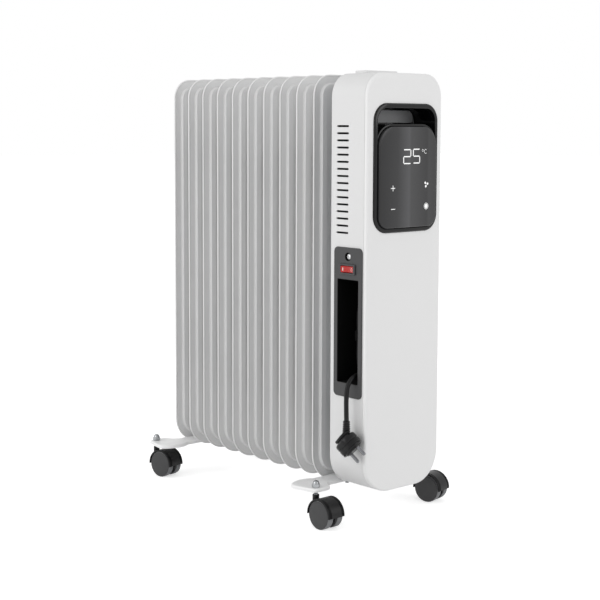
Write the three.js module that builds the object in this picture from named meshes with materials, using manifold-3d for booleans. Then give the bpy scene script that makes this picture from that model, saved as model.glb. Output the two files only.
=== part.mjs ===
// Oil-filled radiator heater: ten pressed-steel elements, a control housing at one end,
// and two foot plates with twin-wheel casters.
// Millimetres, +Z up. X runs from the first element to the control housing, and the
// housing's switch and cord bay face -Y. Inside this file X is measured from the last
// element; the root group then moves the middle of the heater to X = 0.

import * as THREE from 'three';
import { mergeVertices } from 'three/addons/utils/BufferGeometryUtils.js';
import Module from 'manifold-3d';

const wasm = await Module();
wasm.setup();

// ---------------------------------------------------------------- driving dimensions

// Fits
const gap = 0.3;                  // clearance between pieces that touch or turn in each other
const joinDepth = 1;              // how far joined shapes reach into each other

// Radiator elements
const finCount = 10;
const finPitch = 36;
const finHeight = 580;
const finWidth = 144.6;
const finDrop = 8;                // elements' lower edge below the foot plates' tops
const finLowRadius = 41;
const finHighRadius = 30;
const sheetThickness = 1.4;
const hemThickness = 2.6;         // the folded edge
const hemWidth = 2.4;
const flangeWidth = 12.4;         // flat edge outside the raised oil channel
const rampWidth = 2.2;
const crestWidth = 7.2;
const channelThickness = 13.4;
const headerZone = 101.3;         // full-width oil space at the top and the bottom
const webRadius = 20;
const headerInset = 48;           // header centre to the element's upper or lower edge
const neckRadius = 17;
const neckSides = 12;
const boreRadius = 12;
const boreSides = 8;

// Control housing
const housingGap = 37.8;          // last element to the back of the housing
const housingWidth = 146.2;
const housingLift = 2.5;          // housing's lower edge above the elements'
const housingHeight = 578;
const housingLowRadius = 45.5;
const housingHighRadius = 32;
const shellDepth = 64.4;
const shellWall = 2;
const stubReach = 8;              // header stubs into the housing
const shieldRecess = 1;           // heat shield inside the shell's back edge
const shieldThickness = 1.2;
const coverDepth = 5.4;           // flat depth of the front cover at its edge
const coverWall = 3;
const frontBow = 2.5;             // how far the middle of the front bulges
const coverTongue = 6;            // the cover's rim reaches this far into the shell
const tongueWall = 1.5;

// Vents in both sides of the shell
const ventCount = 16;
const ventPitch = 9.7;
const ventLength = 23.5;
const ventHeight = 2.8;
const ventDrop = 72.5;            // first slot below the top of the housing
const ventSetback = 22.5;         // middle of the slots to the back of the housing

// Control panel and carrying handle
const bezelWidth = 125;
const bezelDrop = 41.5;           // bezel below the top of the housing
const bezelHeight = 176;
const bezelRadius = 24;
const bezelProud = 2.5;
const bezelBack = 4;              // how far the bezel's plate reaches behind the cover's edge
const displayMargin = 6.4;
const displayHeight = 138;
const displayHighRadius = 26;
const displayLowRadius = 16;
const displayProud = 5.5;
const displaySeat = 0.6;          // pocket floor below the cover's flat edge
const rimWidth = 3.5;             // bezel left standing above the display
const handleMargin = 6.5;
const handleTipRise = 7;          // handle opening's lower tips, below the display's top
const handleDepth = 40;
const handleWall = 2;

// Side plate, switch and cord bay
const plateSetback = 35.7;        // middle of the plate to the back of the housing
const plateWidth = 55;
const plateRise = 133;            // plate above the bottom of the housing
const plateHeight = 207.5;
const plateRadius = 7;
const plateThickness = 1.5;
const bayWidth = 41;
const baySill = 19.4;             // bay above the plate's lower edge
const bayHeight = 144;
const bayHeadroom = 3;            // the bay goes this much higher behind the plate
const bayDepth = 92.5;
const bayWall = 1.6;
const switchRise = 14.1;          // middle of the switch above the bay's opening
const switchLength = 31;
const switchBreadth = 14.6;
const switchFlange = 2;
const switchBodyLength = 28;
const switchBodyBreadth = 12.6;
const switchBodyDepth = 20;
const rockerLength = 23.2;
const rockerBreadth = 9.8;
const rockerTilt = 7.5;           // degrees to each side of level
const screwDrop = 12.8;           // screw below the plate's upper edge
const screwHeadRadius = 4;
const screwHeadHeight = 2.2;
const screwShankRadius = 1.8;
const screwLength = 7;
const screwWell = 5.2;            // radius of the well around the screw head
const screwWellDepth = 5.2;
const screwWellWall = 1.2;

// Feet
const footHeight = 5;
const footPlate = 2;
const footShift = 18.5;           // middle of the strut to the nearest element, outwards
const strutHalf = 15.5;
const padOuter = 34;
const padInner = 22.5;
const padReach = 122;
const padStart = 74;              // where the strut widens, from the heater's middle plane
const saddleHalfX = 10;
const saddleHalfY = 12;
const boltRadius = 3;
const boltTail = 13;              // U-bolt below the foot's top
const wingRadius = 6;
const wingHeight = 6;
const wingSpan = 13;

// Casters
const stemShift = 25.5;           // stem to the strut's middle, outwards
const stemInset = 17;             // stem to the pad's outer end
const stemRadius = 3;
const stemInNut = 6.5;
const collarClearance = 4.4;      // collar to the underside of the foot
const collarRise = 1.1;           // collar above the hood
const collarRadius = 4.8;
const collarLength = 12.8;
const collarWell = 11.4;
const nutRadius = 5.8;
const nutHexHeight = 5;
const domeRadius = 4.6;
const wheelRadius = 20;
const wheelSides = 24;
const wheelInner = 3.6;           // inner face of each wheel to the middle of the caster
const wheelWidth = 11.4;
const hoodSides = 20;
const hoodGap = 0.6;
const hoodWall = 2.1;
const webThickness = 4.6;
const axleRadius = 2.5;
const axleCover = 1.8;            // wheel left over the end of the axle
const casterTrail = 20.3;
const restSwivels = { front_left: 0, rear_left: 10, front_right: 12, rear_right: 6 };

// Mains cord
const cordRadius = 3.3;
const cordSides = 8;
const leadSteps = 14;
const hankTurns = 4;
const hankPitch = 7.45;           // one loop to the next, across the bay
const hankRadius = 26;            // fold radius at the cord's middle
const hankTop = 322;
const glandRadius = 8;
const glandWall = 1.8;
const glandTaper = 0.5;
const glandFlange = 2.5;
const glandLength = 20;
const plugX = 15.1;               // the cord where it enters the plug, from the plate's middle
const plugY = -90;                // the hanging cord's middle
const plugReach = 2;              // middle of the plug outside the hanging cord
const reliefTop = 152;
const reliefLength = 19;
const reliefRadius = 5.5;
const reliefRibs = 6;
const plugThickness = 17;
const plugWidth = 28;
const plugLength = 34;
const plugCorner = 12;
const plugTurn = 42;              // pins below level, in degrees
const plugYaw = 22;               // pins towards the housing, in degrees
const plugRoll = 20;              // about the line of the pins, in degrees
const plugHeight = 121.5;
const plugBack = 6;               // narrower grip behind the plug's body
const gripInset = 5;
const plugShift = 6;              // middle of the plug in front of the hanging cord
const pinRadius = 2.4;
const pinLength = 19;
const pinHalf = 9.5;

// Inside the housing
const boardThickness = 1.6;
const postRadius = 3;
const postInset = 6;
const boardMargin = 16.5;
const boardLowMargin = 7.6;
const controlPost = 7;
const digitDrop = 30.4;           // lit figures below the top of the display
const digitHeight = 24;
const digitLength = 64;
const powerMargin = 12;           // power board to the shell's back and front edges
const powerRise = 29;             // power board above the floor of the cord bay
const powerLength = 170;
const powerPost = 9;
const relayCount = 3;
const relayPitch = 35;
const relayLength = 24;
const relayWidth = 20;
const relayDepth = 18;
const cutoutRise = 57;            // cut-out above the lower header
const cutoutReach = 34;
const cutoutRadius = 8;
const cutoutThickness = 7;
const bladeSpacing = 4;
const bladeLength = 6;
const bladeWidth = 6;
const tiltWidth = 16;
const tiltDepth = 18;
const tiltHeight = 24;
const capSetback = 1;
const capLength = 24;
const capWidth = 62;
const capThickness = 4;
const capRadius = 3;
const capEdge = 0.6;

// ---------------------------------------------------------------- derived positions

const hoodRadius = wheelRadius + hoodGap + hoodWall;
const axleHeight = wheelRadius * Math.cos(Math.PI / wheelSides);
const collarTop = axleHeight + hoodRadius + collarRise;
const collarLow = collarTop - collarLength;
const footTop = collarTop + collarClearance + footHeight;
const plateUnderside = footTop - footPlate;
const stemReach = padReach - stemInset;
const finBottom = footTop - finDrop;
const finTop = finBottom + finHeight;
const headerLow = finBottom + headerInset;
const headerHigh = finTop - headerInset;
const housingBottom = finBottom + housingLift;
const housingTop = housingBottom + housingHeight;
const housingHalf = housingWidth / 2;
const shellFront = housingGap + shellDepth;
const coverBack = shellFront + gap;
const coverFace = coverBack + coverDepth;
const shieldBack = housingGap + shieldRecess;
const shieldFront = shieldBack + shieldThickness;
const panelHigh = housingTop - bezelDrop;
const bezelLow = panelHigh - bezelHeight;
const displayLow = bezelLow + displayMargin;
const displayHigh = displayLow + displayHeight;
const plateX = housingGap + plateSetback;
const plateBack = -housingHalf - gap;
const plateFace = plateBack - plateThickness;
const plateLow = housingBottom + plateRise;
const bayLow = plateLow + baySill;
const bayTop = bayLow + bayHeight + bayHeadroom;
const switchHeight = bayLow + bayHeight + switchRise;
const screwHeight = plateLow + plateHeight - screwDrop;
const bayFront = -housingHalf + gap;
const bayBack = -housingHalf + bayDepth;
const wheelOuter = wheelInner + wheelWidth;
const frontFootX = footShift;
const rearFootX = -(finCount - 2) * finPitch - footShift;
const frontTip = coverFace + frontBow + displayProud;
const originX = (frontTip + rearFootX - padOuter) / 2;

// ---------------------------------------------------------------- shape helpers

const X = new THREE.Vector3(1, 0, 0);
const Y = new THREE.Vector3(0, 1, 0);
const Z = new THREE.Vector3(0, 0, 1);
const facing = {
  x: new THREE.Matrix4().makeBasis(Y, Z, X),                  // outline in Y,Z
  y: new THREE.Matrix4().makeBasis(X, Z, Y.clone().negate()), // outline in X,Z
  z: new THREE.Matrix4(),                                     // outline in X,Y
};

// A flat outline pushed out along an axis, from start to start + depth.
function prism(shape, axis, start, depth, arcPieces = 3, edge = 0, edgeDepth = edge) {
  const geometry = new THREE.ExtrudeGeometry(shape, {
    depth: depth - 2 * edgeDepth,
    curveSegments: arcPieces / 2, // three.js gives an arc two pieces for each
    bevelEnabled: edge > 0,
    bevelSegments: 1,
    bevelSize: edge,
    bevelOffset: -edge,
    bevelThickness: edgeDepth,
  });
  geometry.translate(0, 0, edgeDepth);
  geometry.applyMatrix4(facing[axis]);
  const along = { x: [start, 0, 0], y: [0, start + depth, 0], z: [0, 0, start] }[axis];
  return geometry.translate(...along);
}

function rectangle(left, right, low, high) {
  return new THREE.Shape([
    new THREE.Vector2(left, low),
    new THREE.Vector2(right, low),
    new THREE.Vector2(right, high),
    new THREE.Vector2(left, high),
  ]);
}

function block(x0, x1, y0, y1, z0, z1) {
  return prism(rectangle(x0, x1, y0, y1), 'z', z0, z1 - z0);
}

// A rounded outline with its own radius at the bottom and at the top.
function panel(left, right, low, high, lowRadius, highRadius, path = new THREE.Shape()) {
  const quarter = Math.PI / 2;
  path.moveTo(left + lowRadius, low);
  path.lineTo(right - lowRadius, low);
  path.absarc(right - lowRadius, low + lowRadius, lowRadius, -quarter, 0);
  path.lineTo(right, high - highRadius);
  path.absarc(right - highRadius, high - highRadius, highRadius, 0, quarter);
  path.lineTo(left + highRadius, high);
  path.absarc(left + highRadius, high - highRadius, highRadius, quarter, 2 * quarter);
  path.lineTo(left, low + lowRadius);
  path.absarc(left + lowRadius, low + lowRadius, lowRadius, 2 * quarter, 3 * quarter);
  return path;
}

// A regular outline with a flat side at the bottom.
function polygon(radius, sides, a = 0, b = 0) {
  const points = [];
  for (let i = 0; i < sides; i += 1) {
    const angle = -Math.PI / 2 + (i + 0.5) * 2 * Math.PI / sides;
    points.push(new THREE.Vector2(a + radius * Math.cos(angle), b + radius * Math.sin(angle)));
  }
  return new THREE.Shape(points);
}

function rod(radius, axis, start, end, a, b, sides = 12) {
  return prism(polygon(radius, sides, a, b), axis, start, end - start);
}

// A closed profile of [radius, height] points turned about the Z axis.
function turned(profile, sides, x = 0, y = 0) {
  const points = profile.map(([radius, height]) => new THREE.Vector2(radius, height));
  const geometry = new THREE.LatheGeometry(points, sides);
  return geometry.rotateX(Math.PI / 2).translate(x, y, 0);
}

function solidOf(geometry) {
  const bare = geometry.clone();
  bare.deleteAttribute('normal');
  bare.deleteAttribute('uv');
  const merged = mergeVertices(bare, 1e-4);
  return new wasm.Manifold(new wasm.Mesh({
    numProp: 3,
    vertProperties: new Float32Array(merged.attributes.position.array),
    triVerts: new Uint32Array(merged.index.array),
  }));
}

function geometryOf(solid) {
  const mesh = solid.getMesh();
  const geometry = new THREE.BufferGeometry();
  geometry.setAttribute('position', new THREE.BufferAttribute(mesh.vertProperties, 3));
  geometry.setIndex(new THREE.BufferAttribute(mesh.triVerts, 1));
  geometry.computeVertexNormals();
  return geometry;
}

function combine(first, others, operation) {
  let result = solidOf(first);
  for (const other of others) {
    result = result[operation](solidOf(other));
  }
  return geometryOf(result);
}

function join(first, ...others) {
  return combine(first, others, 'add');
}

function cut(first, ...tools) {
  return combine(first, tools, 'subtract');
}

function common(first, ...others) {
  return combine(first, others, 'intersect');
}

// ---------------------------------------------------------------- materials

function finish(color, roughness, metalness = 0) {
  return new THREE.MeshStandardMaterial({ color, roughness, metalness });
}

const finishes = {
  enamel: finish(0xc9c9c7, 0.4, 0.1),
  housingWhite: finish(0xe4e4e3, 0.5),
  footWhite: finish(0xdededc, 0.4, 0.1),
  glossBlack: finish(0x17181a, 0.12),
  displayGrey: finish(0x3c3d40, 0.15),
  plateGrey: finish(0x58595b, 0.5),
  bayBlack: finish(0x0c0c0d, 0.6),
  casterBlack: finish(0x2a2b2d, 0.5),
  rockerRed: finish(0xc42420, 0.2),
  chrome: finish(0xd8dadc, 0.12, 1),
  zinc: finish(0xa9acb0, 0.35, 0.9),
  circuitGreen: finish(0x1f5a3a, 0.5),
  cordBlack: finish(0x1b1b1d, 0.6),
};

const heater = new THREE.Group();
heater.position.x = -originX;

function place(name, geometry, material, parent = heater) {
  const mesh = new THREE.Mesh(geometry, material);
  mesh.name = name;
  parent.add(mesh);
  return mesh;
}

// ---------------------------------------------------------------- radiator elements

function finOutline(inset, path) {
  return panel(-finWidth / 2 + inset, finWidth / 2 - inset, finBottom + inset, finTop - inset,
    finLowRadius - inset, finHighRadius - inset, path);
}

function webOutline() {
  const side = finWidth / 2 - flangeWidth - 2 * rampWidth - crestWidth;
  return panel(-side, side, finBottom + headerZone + rampWidth, finTop - headerZone - rampWidth,
    webRadius, webRadius, new THREE.Path());
}

// Neck lengths are measured from the sheet's middle; 0 leaves that side of the oil space shut.
function element(neckBack, neckFront) {
  const sheet = prism(finOutline(0), 'x', -sheetThickness / 2, sheetThickness);
  const hemShape = finOutline(0);
  hemShape.holes.push(finOutline(hemWidth, new THREE.Path()));
  const hem = prism(hemShape, 'x', -hemThickness / 2, hemThickness);
  const channelShape = finOutline(flangeWidth);
  channelShape.holes.push(webOutline());
  const rise = (channelThickness - sheetThickness) / 2;
  const channel = prism(channelShape, 'x', -channelThickness / 2, channelThickness, 3,
    rampWidth, rise);
  const necks = [];
  const bores = [];
  for (const height of [headerLow, headerHigh]) {
    necks.push(rod(neckRadius, 'x', -neckBack, neckFront, 0, height, neckSides));
    const boreBack = neckBack > 0 ? -neckBack - joinDepth : -sheetThickness / 2;
    bores.push(rod(boreRadius, 'x', boreBack, neckFront + joinDepth, 0, height, boreSides));
  }
  return cut(join(sheet, hem, channel, ...necks), ...bores);
}

const neckLength = (finPitch - gap) / 2;
const stubLength = housingGap + stubReach;
const middleElement = element(neckLength, neckLength);
for (let i = 1; i <= finCount; i += 1) {
  let geometry = middleElement;
  if (i === 1) {
    geometry = element(0, neckLength);
  }
  if (i === finCount) {
    geometry = element(neckLength, stubLength);
  }
  const fin = place(`fin_${String(i).padStart(2, '0')}`, geometry, finishes.enamel);
  fin.position.x = (i - finCount) * finPitch;
}

// Heating element: a hairpin rod in the lower header, brazed into a flange with two terminals.
const hairpinHalf = 5.5;
const hairpinRadius = 3.6;
const hairpinEnd = -(finCount - 1) * finPitch + 2 * hairpinHalf;
const flangeThickness = 7;
const flangeRadius = 21;
const terminalRadius = 2.5;
const terminalLength = 16;

function heatingElement() {
  const back = stubLength + gap;
  const front = back + flangeThickness;
  const legs = [-hairpinHalf, hairpinHalf];
  const rods = legs.map((y) => rod(hairpinRadius, 'x', hairpinEnd + hairpinHalf, back + joinDepth,
    y, headerLow, 8));
  const bend = block(hairpinEnd, hairpinEnd + hairpinHalf + joinDepth,
    -hairpinHalf - hairpinRadius / 2, hairpinHalf + hairpinRadius / 2,
    headerLow - hairpinRadius / 2, headerLow + hairpinRadius / 2);
  const disc = rod(flangeRadius, 'x', back, front, 0, headerLow, 6);
  const pins = legs.map((y) => rod(terminalRadius, 'x', front - joinDepth,
    front + terminalLength, y, headerLow, 8));
  return join(disc, ...rods, bend, ...pins);
}

place('heating_element', heatingElement(), finishes.zinc);

const plugHeadRadius = 14;
const plugHeadThickness = 5;
const plugShankLength = 9;
place('oil_filler_plug', join(
  rod(plugHeadRadius, 'x', stubLength + gap, stubLength + gap + plugHeadThickness, 0,
    headerHigh, 6),
  rod(boreRadius * Math.cos(Math.PI / boreSides) - gap, 'x', stubLength + gap - plugShankLength,
    stubLength + gap + joinDepth, 0, headerHigh, boreSides),
), finishes.zinc);

// ---------------------------------------------------------------- control housing

function housingOutline(inset, path) {
  return panel(-housingHalf + inset, housingHalf - inset, housingBottom + inset,
    housingTop - inset, housingLowRadius - inset, housingHighRadius - inset, path);
}

function ring(outer, inner, axis, start, depth, arcPieces) {
  const shape = outer();
  shape.holes.push(inner(new THREE.Path()));
  return prism(shape, axis, start, depth, arcPieces);
}

function ventSlots() {
  const middle = housingGap + ventSetback;
  const slots = [];
  for (const side of [-housingHalf, housingHalf - shellWall]) {
    for (let i = 0; i < ventCount; i += 1) {
      const height = housingTop - ventDrop - i * ventPitch;
      const outline = rectangle(middle - ventLength / 2, middle + ventLength / 2,
        height - ventHeight / 2, height + ventHeight / 2);
      slots.push(prism(outline, 'y', side - joinDepth, shellWall + 2 * joinDepth));
    }
  }
  return slots;
}

const windowLeft = plateX - bayWidth / 2 - bayWall - gap;
const windowRight = plateX + bayWidth / 2 + bayWall + gap;
const windowLow = bayLow - bayWall - gap;
const windowHigh = switchHeight + switchBodyBreadth / 2 + 2.5;

function housingShell() {
  const tube = ring(() => housingOutline(0), (path) => housingOutline(shellWall, path),
    'x', housingGap, shellDepth, 6);
  const bayWindow = prism(rectangle(windowLeft, windowRight, windowLow, windowHigh), 'y',
    -housingHalf - joinDepth, shellWall + 2 * joinDepth);
  const wellHole = rod(screwWell + screwWellWall + gap, 'y', -housingHalf - joinDepth,
    -housingHalf + shellWall + joinDepth, plateX, screwHeight, 12);
  return cut(tube, bayWindow, wellHole, ...ventSlots());
}

place('housing_shell', housingShell(), finishes.housingWhite);

function heatShield() {
  const sheet = prism(housingOutline(shellWall + gap), 'x', shieldBack, shieldThickness, 6);
  const holes = [headerLow, headerHigh].map((height) => rod(neckRadius + gap, 'x',
    shieldBack - joinDepth, shieldFront + joinDepth, 0, height, neckSides));
  return cut(sheet, ...holes);
}

place('heat_shield', heatShield(), finishes.zinc);

// Everything behind the bowed face that stands this far in front of the cover's flat edge.
function behindFace(proud) {
  const wide = housingHalf + joinDepth;
  const face = coverFace + proud;
  const shape = new THREE.Shape();
  shape.moveTo(-housingWidth, -wide);
  shape.lineTo(face, -wide);
  shape.quadraticCurveTo(face + 2 * frontBow, 0, face, wide);
  shape.lineTo(-housingWidth, wide);
  return prism(shape, 'z', 0, housingTop + housingBottom, 12);
}

const beyond = frontTip + joinDepth;

function bezelOutline(inset, path) {
  return panel(-bezelWidth / 2 + inset, bezelWidth / 2 - inset, bezelLow + inset,
    panelHigh - inset, bezelRadius - inset, bezelRadius - inset, path);
}

function frontCover() {
  const outside = common(prism(housingOutline(0), 'x', coverBack, beyond - coverBack, 6),
    behindFace(0));
  const inside = common(prism(housingOutline(coverWall), 'x', coverBack - joinDepth,
    beyond - coverBack, 6), behindFace(-coverWall));
  const tongueInset = shellWall + gap;
  const tongue = ring(() => housingOutline(tongueInset),
    (path) => housingOutline(tongueInset + tongueWall, path), 'x',
    coverBack - coverTongue, coverTongue + coverWall, 6);
  const panelHole = prism(bezelOutline(-gap), 'x', coverBack, beyond - coverBack, 5);
  return cut(join(cut(outside, inside), tongue), panelHole);
}

place('front_cover', frontCover(), finishes.housingWhite);

function displayOutline(inset) {
  const half = bezelWidth / 2 - displayMargin - inset;
  return panel(-half, half, displayLow + inset, displayHigh - inset,
    displayLowRadius - inset, displayHighRadius - inset);
}

const handleLow = displayHigh - handleTipRise;
const handleHigh = panelHigh - handleMargin;
const handleHalf = bezelWidth / 2 - handleMargin;
const handleBack = coverFace - handleDepth;
const bezelRear = coverFace - bezelBack;

function handleBox(grow, start, end) {
  const box = panel(-handleHalf - grow, handleHalf + grow, handleLow - grow, handleHigh + grow,
    3 + grow, bezelRadius - handleMargin + grow);
  return prism(box, 'x', start, end - start, 4);
}

function controlBezel() {
  const face = common(prism(bezelOutline(0), 'x', bezelRear, beyond - bezelRear, 5),
    behindFace(bezelProud));
  const displaySeatX = coverFace - displaySeat;
  const seat = prism(displayOutline(-gap), 'x', displaySeatX, beyond - displaySeatX, 5);
  const grip = handleBox(handleWall, handleBack, bezelRear + joinDepth);
  const hollow = handleBox(0, handleBack + handleWall, bezelRear + joinDepth);
  const rim = prism(displayOutline(-gap - rimWidth), 'x', bezelRear - joinDepth,
    beyond - bezelRear + 2 * joinDepth, 5);
  const mouth = cut(handleBox(0, bezelRear - joinDepth / 2, beyond), rim);
  return cut(join(cut(face, seat), grip), hollow, mouth);
}

place('control_bezel', controlBezel(), finishes.glossBlack);

const displayBack = coverFace - displaySeat + gap;
place('display_panel', common(prism(displayOutline(0), 'x', displayBack,
  beyond - displayBack, 5), behindFace(displayProud)), finishes.displayGrey);

// Control board behind the display, on four posts against the bezel's plate, with the
// module that lights the figures.
function controlBoard() {
  const front = bezelRear - gap - controlPost;
  const half = bezelWidth / 2 - boardMargin;
  const low = displayLow + boardLowMargin;
  const high = displayHigh - boardMargin;
  const sheet = block(front - boardThickness, front, -half, half, low, high);
  const posts = [];
  for (const y of [postInset - half, half - postInset]) {
    for (const z of [low + postInset, high - postInset]) {
      posts.push(rod(postRadius, 'x', front - joinDepth / 2, front + controlPost, y, z, 8));
    }
  }
  const digitHigh = displayHigh - digitDrop;
  const digitModule = block(front - joinDepth / 2, front + controlPost - gap, -digitLength / 2,
    digitLength / 2, digitHigh - digitHeight, digitHigh);
  return join(sheet, ...posts, digitModule);
}

place('control_board', controlBoard(), finishes.circuitGreen);

// Power board on the far side wall, with three relays that face the middle.
function powerBoard() {
  const back = housingGap + powerMargin;
  const front = shellFront - powerMargin;
  const low = bayLow + powerRise;
  const high = low + powerLength;
  const wall = housingHalf - shellWall - gap;
  const face = wall - powerPost;
  const sheet = block(back, front, face - boardThickness, face, low, high);
  const posts = [];
  for (const x of [back + postInset, front - postInset]) {
    for (const z of [low + postInset, high - postInset]) {
      posts.push(rod(postRadius, 'y', face - joinDepth / 2, wall, x, z, 8));
    }
  }
  const relays = [];
  for (let i = 0; i < relayCount; i += 1) {
    const start = low + 2 * postInset + i * relayPitch;
    relays.push(block(back + postInset, back + postInset + relayWidth,
      face - boardThickness - relayDepth, face - boardThickness + joinDepth / 2,
      start, start + relayLength));
  }
  return join(sheet, ...posts, ...relays);
}

place('power_board', powerBoard(), finishes.circuitGreen);

// Snap-disc cut-out on the heat shield, with two blade terminals.
function thermalCutout() {
  const start = shieldFront + gap;
  const height = headerLow + cutoutRise;
  const disc = rod(cutoutRadius, 'x', start, start + cutoutThickness, cutoutReach, height, 12);
  const blades = [-1, 1].map((turn) => {
    const middle = cutoutReach + turn * bladeSpacing;
    return block(start + cutoutThickness - joinDepth, start + cutoutThickness + bladeLength,
      middle - joinDepth, middle + joinDepth, height - bladeWidth / 2, height + bladeWidth / 2);
  });
  return join(disc, ...blades);
}

place('thermal_cutout', thermalCutout(), finishes.bayBlack);

// Tilt switch on the housing's floor.
const tiltFloor = housingBottom + shellWall + gap;
place('tilt_switch', join(
  block(plateX - tiltWidth / 2, plateX + tiltWidth / 2, -tiltDepth / 2, tiltDepth / 2,
    tiltFloor, tiltFloor + tiltHeight),
  block(plateX - tiltWidth, plateX + tiltWidth, -tiltDepth / 2, tiltDepth / 2, tiltFloor,
    tiltFloor + shellWall),
), finishes.bayBlack);

// Low rectangular cap on the top of the housing.
const capBack = housingGap + capSetback;
place('top_cap', prism(panel(capBack, capBack + capLength, -capWidth / 2, capWidth / 2,
  capRadius, capRadius), 'z', housingTop + gap, capThickness, 2, capEdge),
finishes.housingWhite);

// ---------------------------------------------------------------- side plate and cord bay

const bayLeft = plateX - bayWidth / 2;
const bayRight = plateX + bayWidth / 2;
const wellFloor = plateBack - plateThickness + screwWellDepth;
const bridgeFront = wellFloor + screwWellWall + gap;
const bridgeThickness = 2;

function sidePlate() {
  const sheet = prism(panel(plateX - plateWidth / 2, plateX + plateWidth / 2, plateLow,
    plateLow + plateHeight, plateRadius, plateRadius), 'y', plateFace, plateThickness, 4, 0.5);
  const opening = prism(panel(bayLeft, bayRight, bayLow, bayLow + bayHeight, 1.5, 1.5), 'y',
    plateFace - joinDepth, plateThickness + 2 * joinDepth, 2);
  const switchHole = prism(rectangle(plateX - switchBodyLength / 2 - gap,
    plateX + switchBodyLength / 2 + gap, switchHeight - switchBodyBreadth / 2 - gap,
    switchHeight + switchBodyBreadth / 2 + gap), 'y', plateFace - joinDepth,
  plateThickness + 2 * joinDepth);
  const well = rod(screwWell + screwWellWall, 'y', plateFace + joinDepth,
    wellFloor + screwWellWall, plateX, screwHeight, 12);
  const wellHollow = rod(screwWell, 'y', plateFace - joinDepth, wellFloor, plateX,
    screwHeight, 12);
  const shankHole = rod(screwShankRadius + gap, 'y', wellFloor - joinDepth,
    bridgeFront + joinDepth, plateX, screwHeight, 8);
  return cut(join(sheet, well), opening, switchHole, wellHollow, shankHole);
}

place('side_plate', sidePlate(), finishes.plateGrey);

place('plate_screw', join(
  prism(polygon(screwHeadRadius, 12, plateX, screwHeight), 'y',
    wellFloor - gap - screwHeadHeight, screwHeadHeight, 3, 0.8),
  rod(screwShankRadius, 'y', wellFloor - gap - joinDepth, wellFloor + screwLength, plateX,
    screwHeight, 8),
), finishes.chrome);

// Where the cord comes through the bay's roof and where it leaves over the lower lip.
const sleeveRadius = cordRadius + glandWall;
const cordX = bayLeft + sleeveRadius + gap;
const backRun = bayBack - bayWall - glandRadius;

function cordBay() {
  const outer = block(bayLeft - bayWall, bayRight + bayWall, bayFront, bayBack,
    bayLow - bayWall, bayTop + bayWall);
  const inner = block(bayLeft, bayRight, bayFront - joinDepth, bayBack - bayWall,
    bayLow, bayTop);
  const earLow = bayTop + bayWall - joinDepth;
  const earTop = screwHeight + 8;
  const ears = [bayLeft - bayWall, bayRight].map((x) => block(x, x + bayWall,
    -housingHalf + shellWall + gap, bridgeFront + bridgeThickness, earLow, earTop));
  const bridge = block(bayLeft - bayWall, bayRight + bayWall, bridgeFront,
    bridgeFront + bridgeThickness, windowHigh + 2 * gap, earTop);
  const screwHole = rod(screwShankRadius + gap, 'y', bridgeFront - joinDepth,
    bridgeFront + bridgeThickness + joinDepth, plateX, screwHeight, 8);
  const cordHole = rod(sleeveRadius + gap, 'z', bayTop - joinDepth, bayTop + 2 * bayWall,
    cordX, backRun, 10);
  return cut(join(outer, ...ears, bridge), inner, screwHole, cordHole);
}

place('cord_bay', cordBay(), finishes.bayBlack);

// Rocker switch: a framed body that clips into the plate, and the rocker on its pivot.
const rockerPivot = plateFace - switchFlange + 4;
const pivotRadius = 1.5;
const pivotLength = 1.2;
const wellHalf = rockerLength / 2 + 1;

function switchBody() {
  const flange = prism(rectangle(plateX - switchLength / 2, plateX + switchLength / 2,
    switchHeight - switchBreadth / 2, switchHeight + switchBreadth / 2), 'y',
  plateFace - gap - switchFlange, switchFlange, 3, 0.5);
  const body = block(plateX - switchBodyLength / 2, plateX + switchBodyLength / 2,
    plateFace - gap - joinDepth, plateFace + switchBodyDepth,
    switchHeight - switchBodyBreadth / 2, switchHeight + switchBodyBreadth / 2);
  const well = block(plateX - wellHalf, plateX + wellHalf, plateFace - 2 * switchFlange,
    rockerPivot + 5, switchHeight - rockerBreadth / 2 - gap,
    switchHeight + rockerBreadth / 2 + gap);
  const pivotHole = rod(pivotRadius + gap, 'z', switchHeight - rockerBreadth / 2 - pivotLength
    - 2 * gap, switchHeight + rockerBreadth / 2 + pivotLength + 2 * gap, plateX, rockerPivot, 8);
  return cut(join(flange, body), well, pivotHole);
}

place('switch_body', switchBody(), finishes.bayBlack);

function rocker() {
  const half = rockerLength / 2;
  const profile = new THREE.Shape();
  profile.moveTo(-half, -5.4);
  profile.quadraticCurveTo(0, -2.6, half, -5.4);
  profile.lineTo(half, -1.4);
  profile.lineTo(half - 2, 1.4);
  profile.lineTo(0, 2.6);
  profile.lineTo(-half + 2, 1.4);
  profile.lineTo(-half, -1.4);
  const body = prism(profile, 'z', -rockerBreadth / 2, rockerBreadth, 12);
  const pins = rod(pivotRadius, 'z', -rockerBreadth / 2 - pivotLength,
    rockerBreadth / 2 + pivotLength, 0, 0, 8);
  return join(body, pins);
}

const rockerMesh = place('rocker', rocker(), finishes.rockerRed);
rockerMesh.position.set(plateX, rockerPivot, switchHeight);
rockerMesh.rotation.z = THREE.MathUtils.degToRad(rockerTilt);

// ---------------------------------------------------------------- feet

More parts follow.
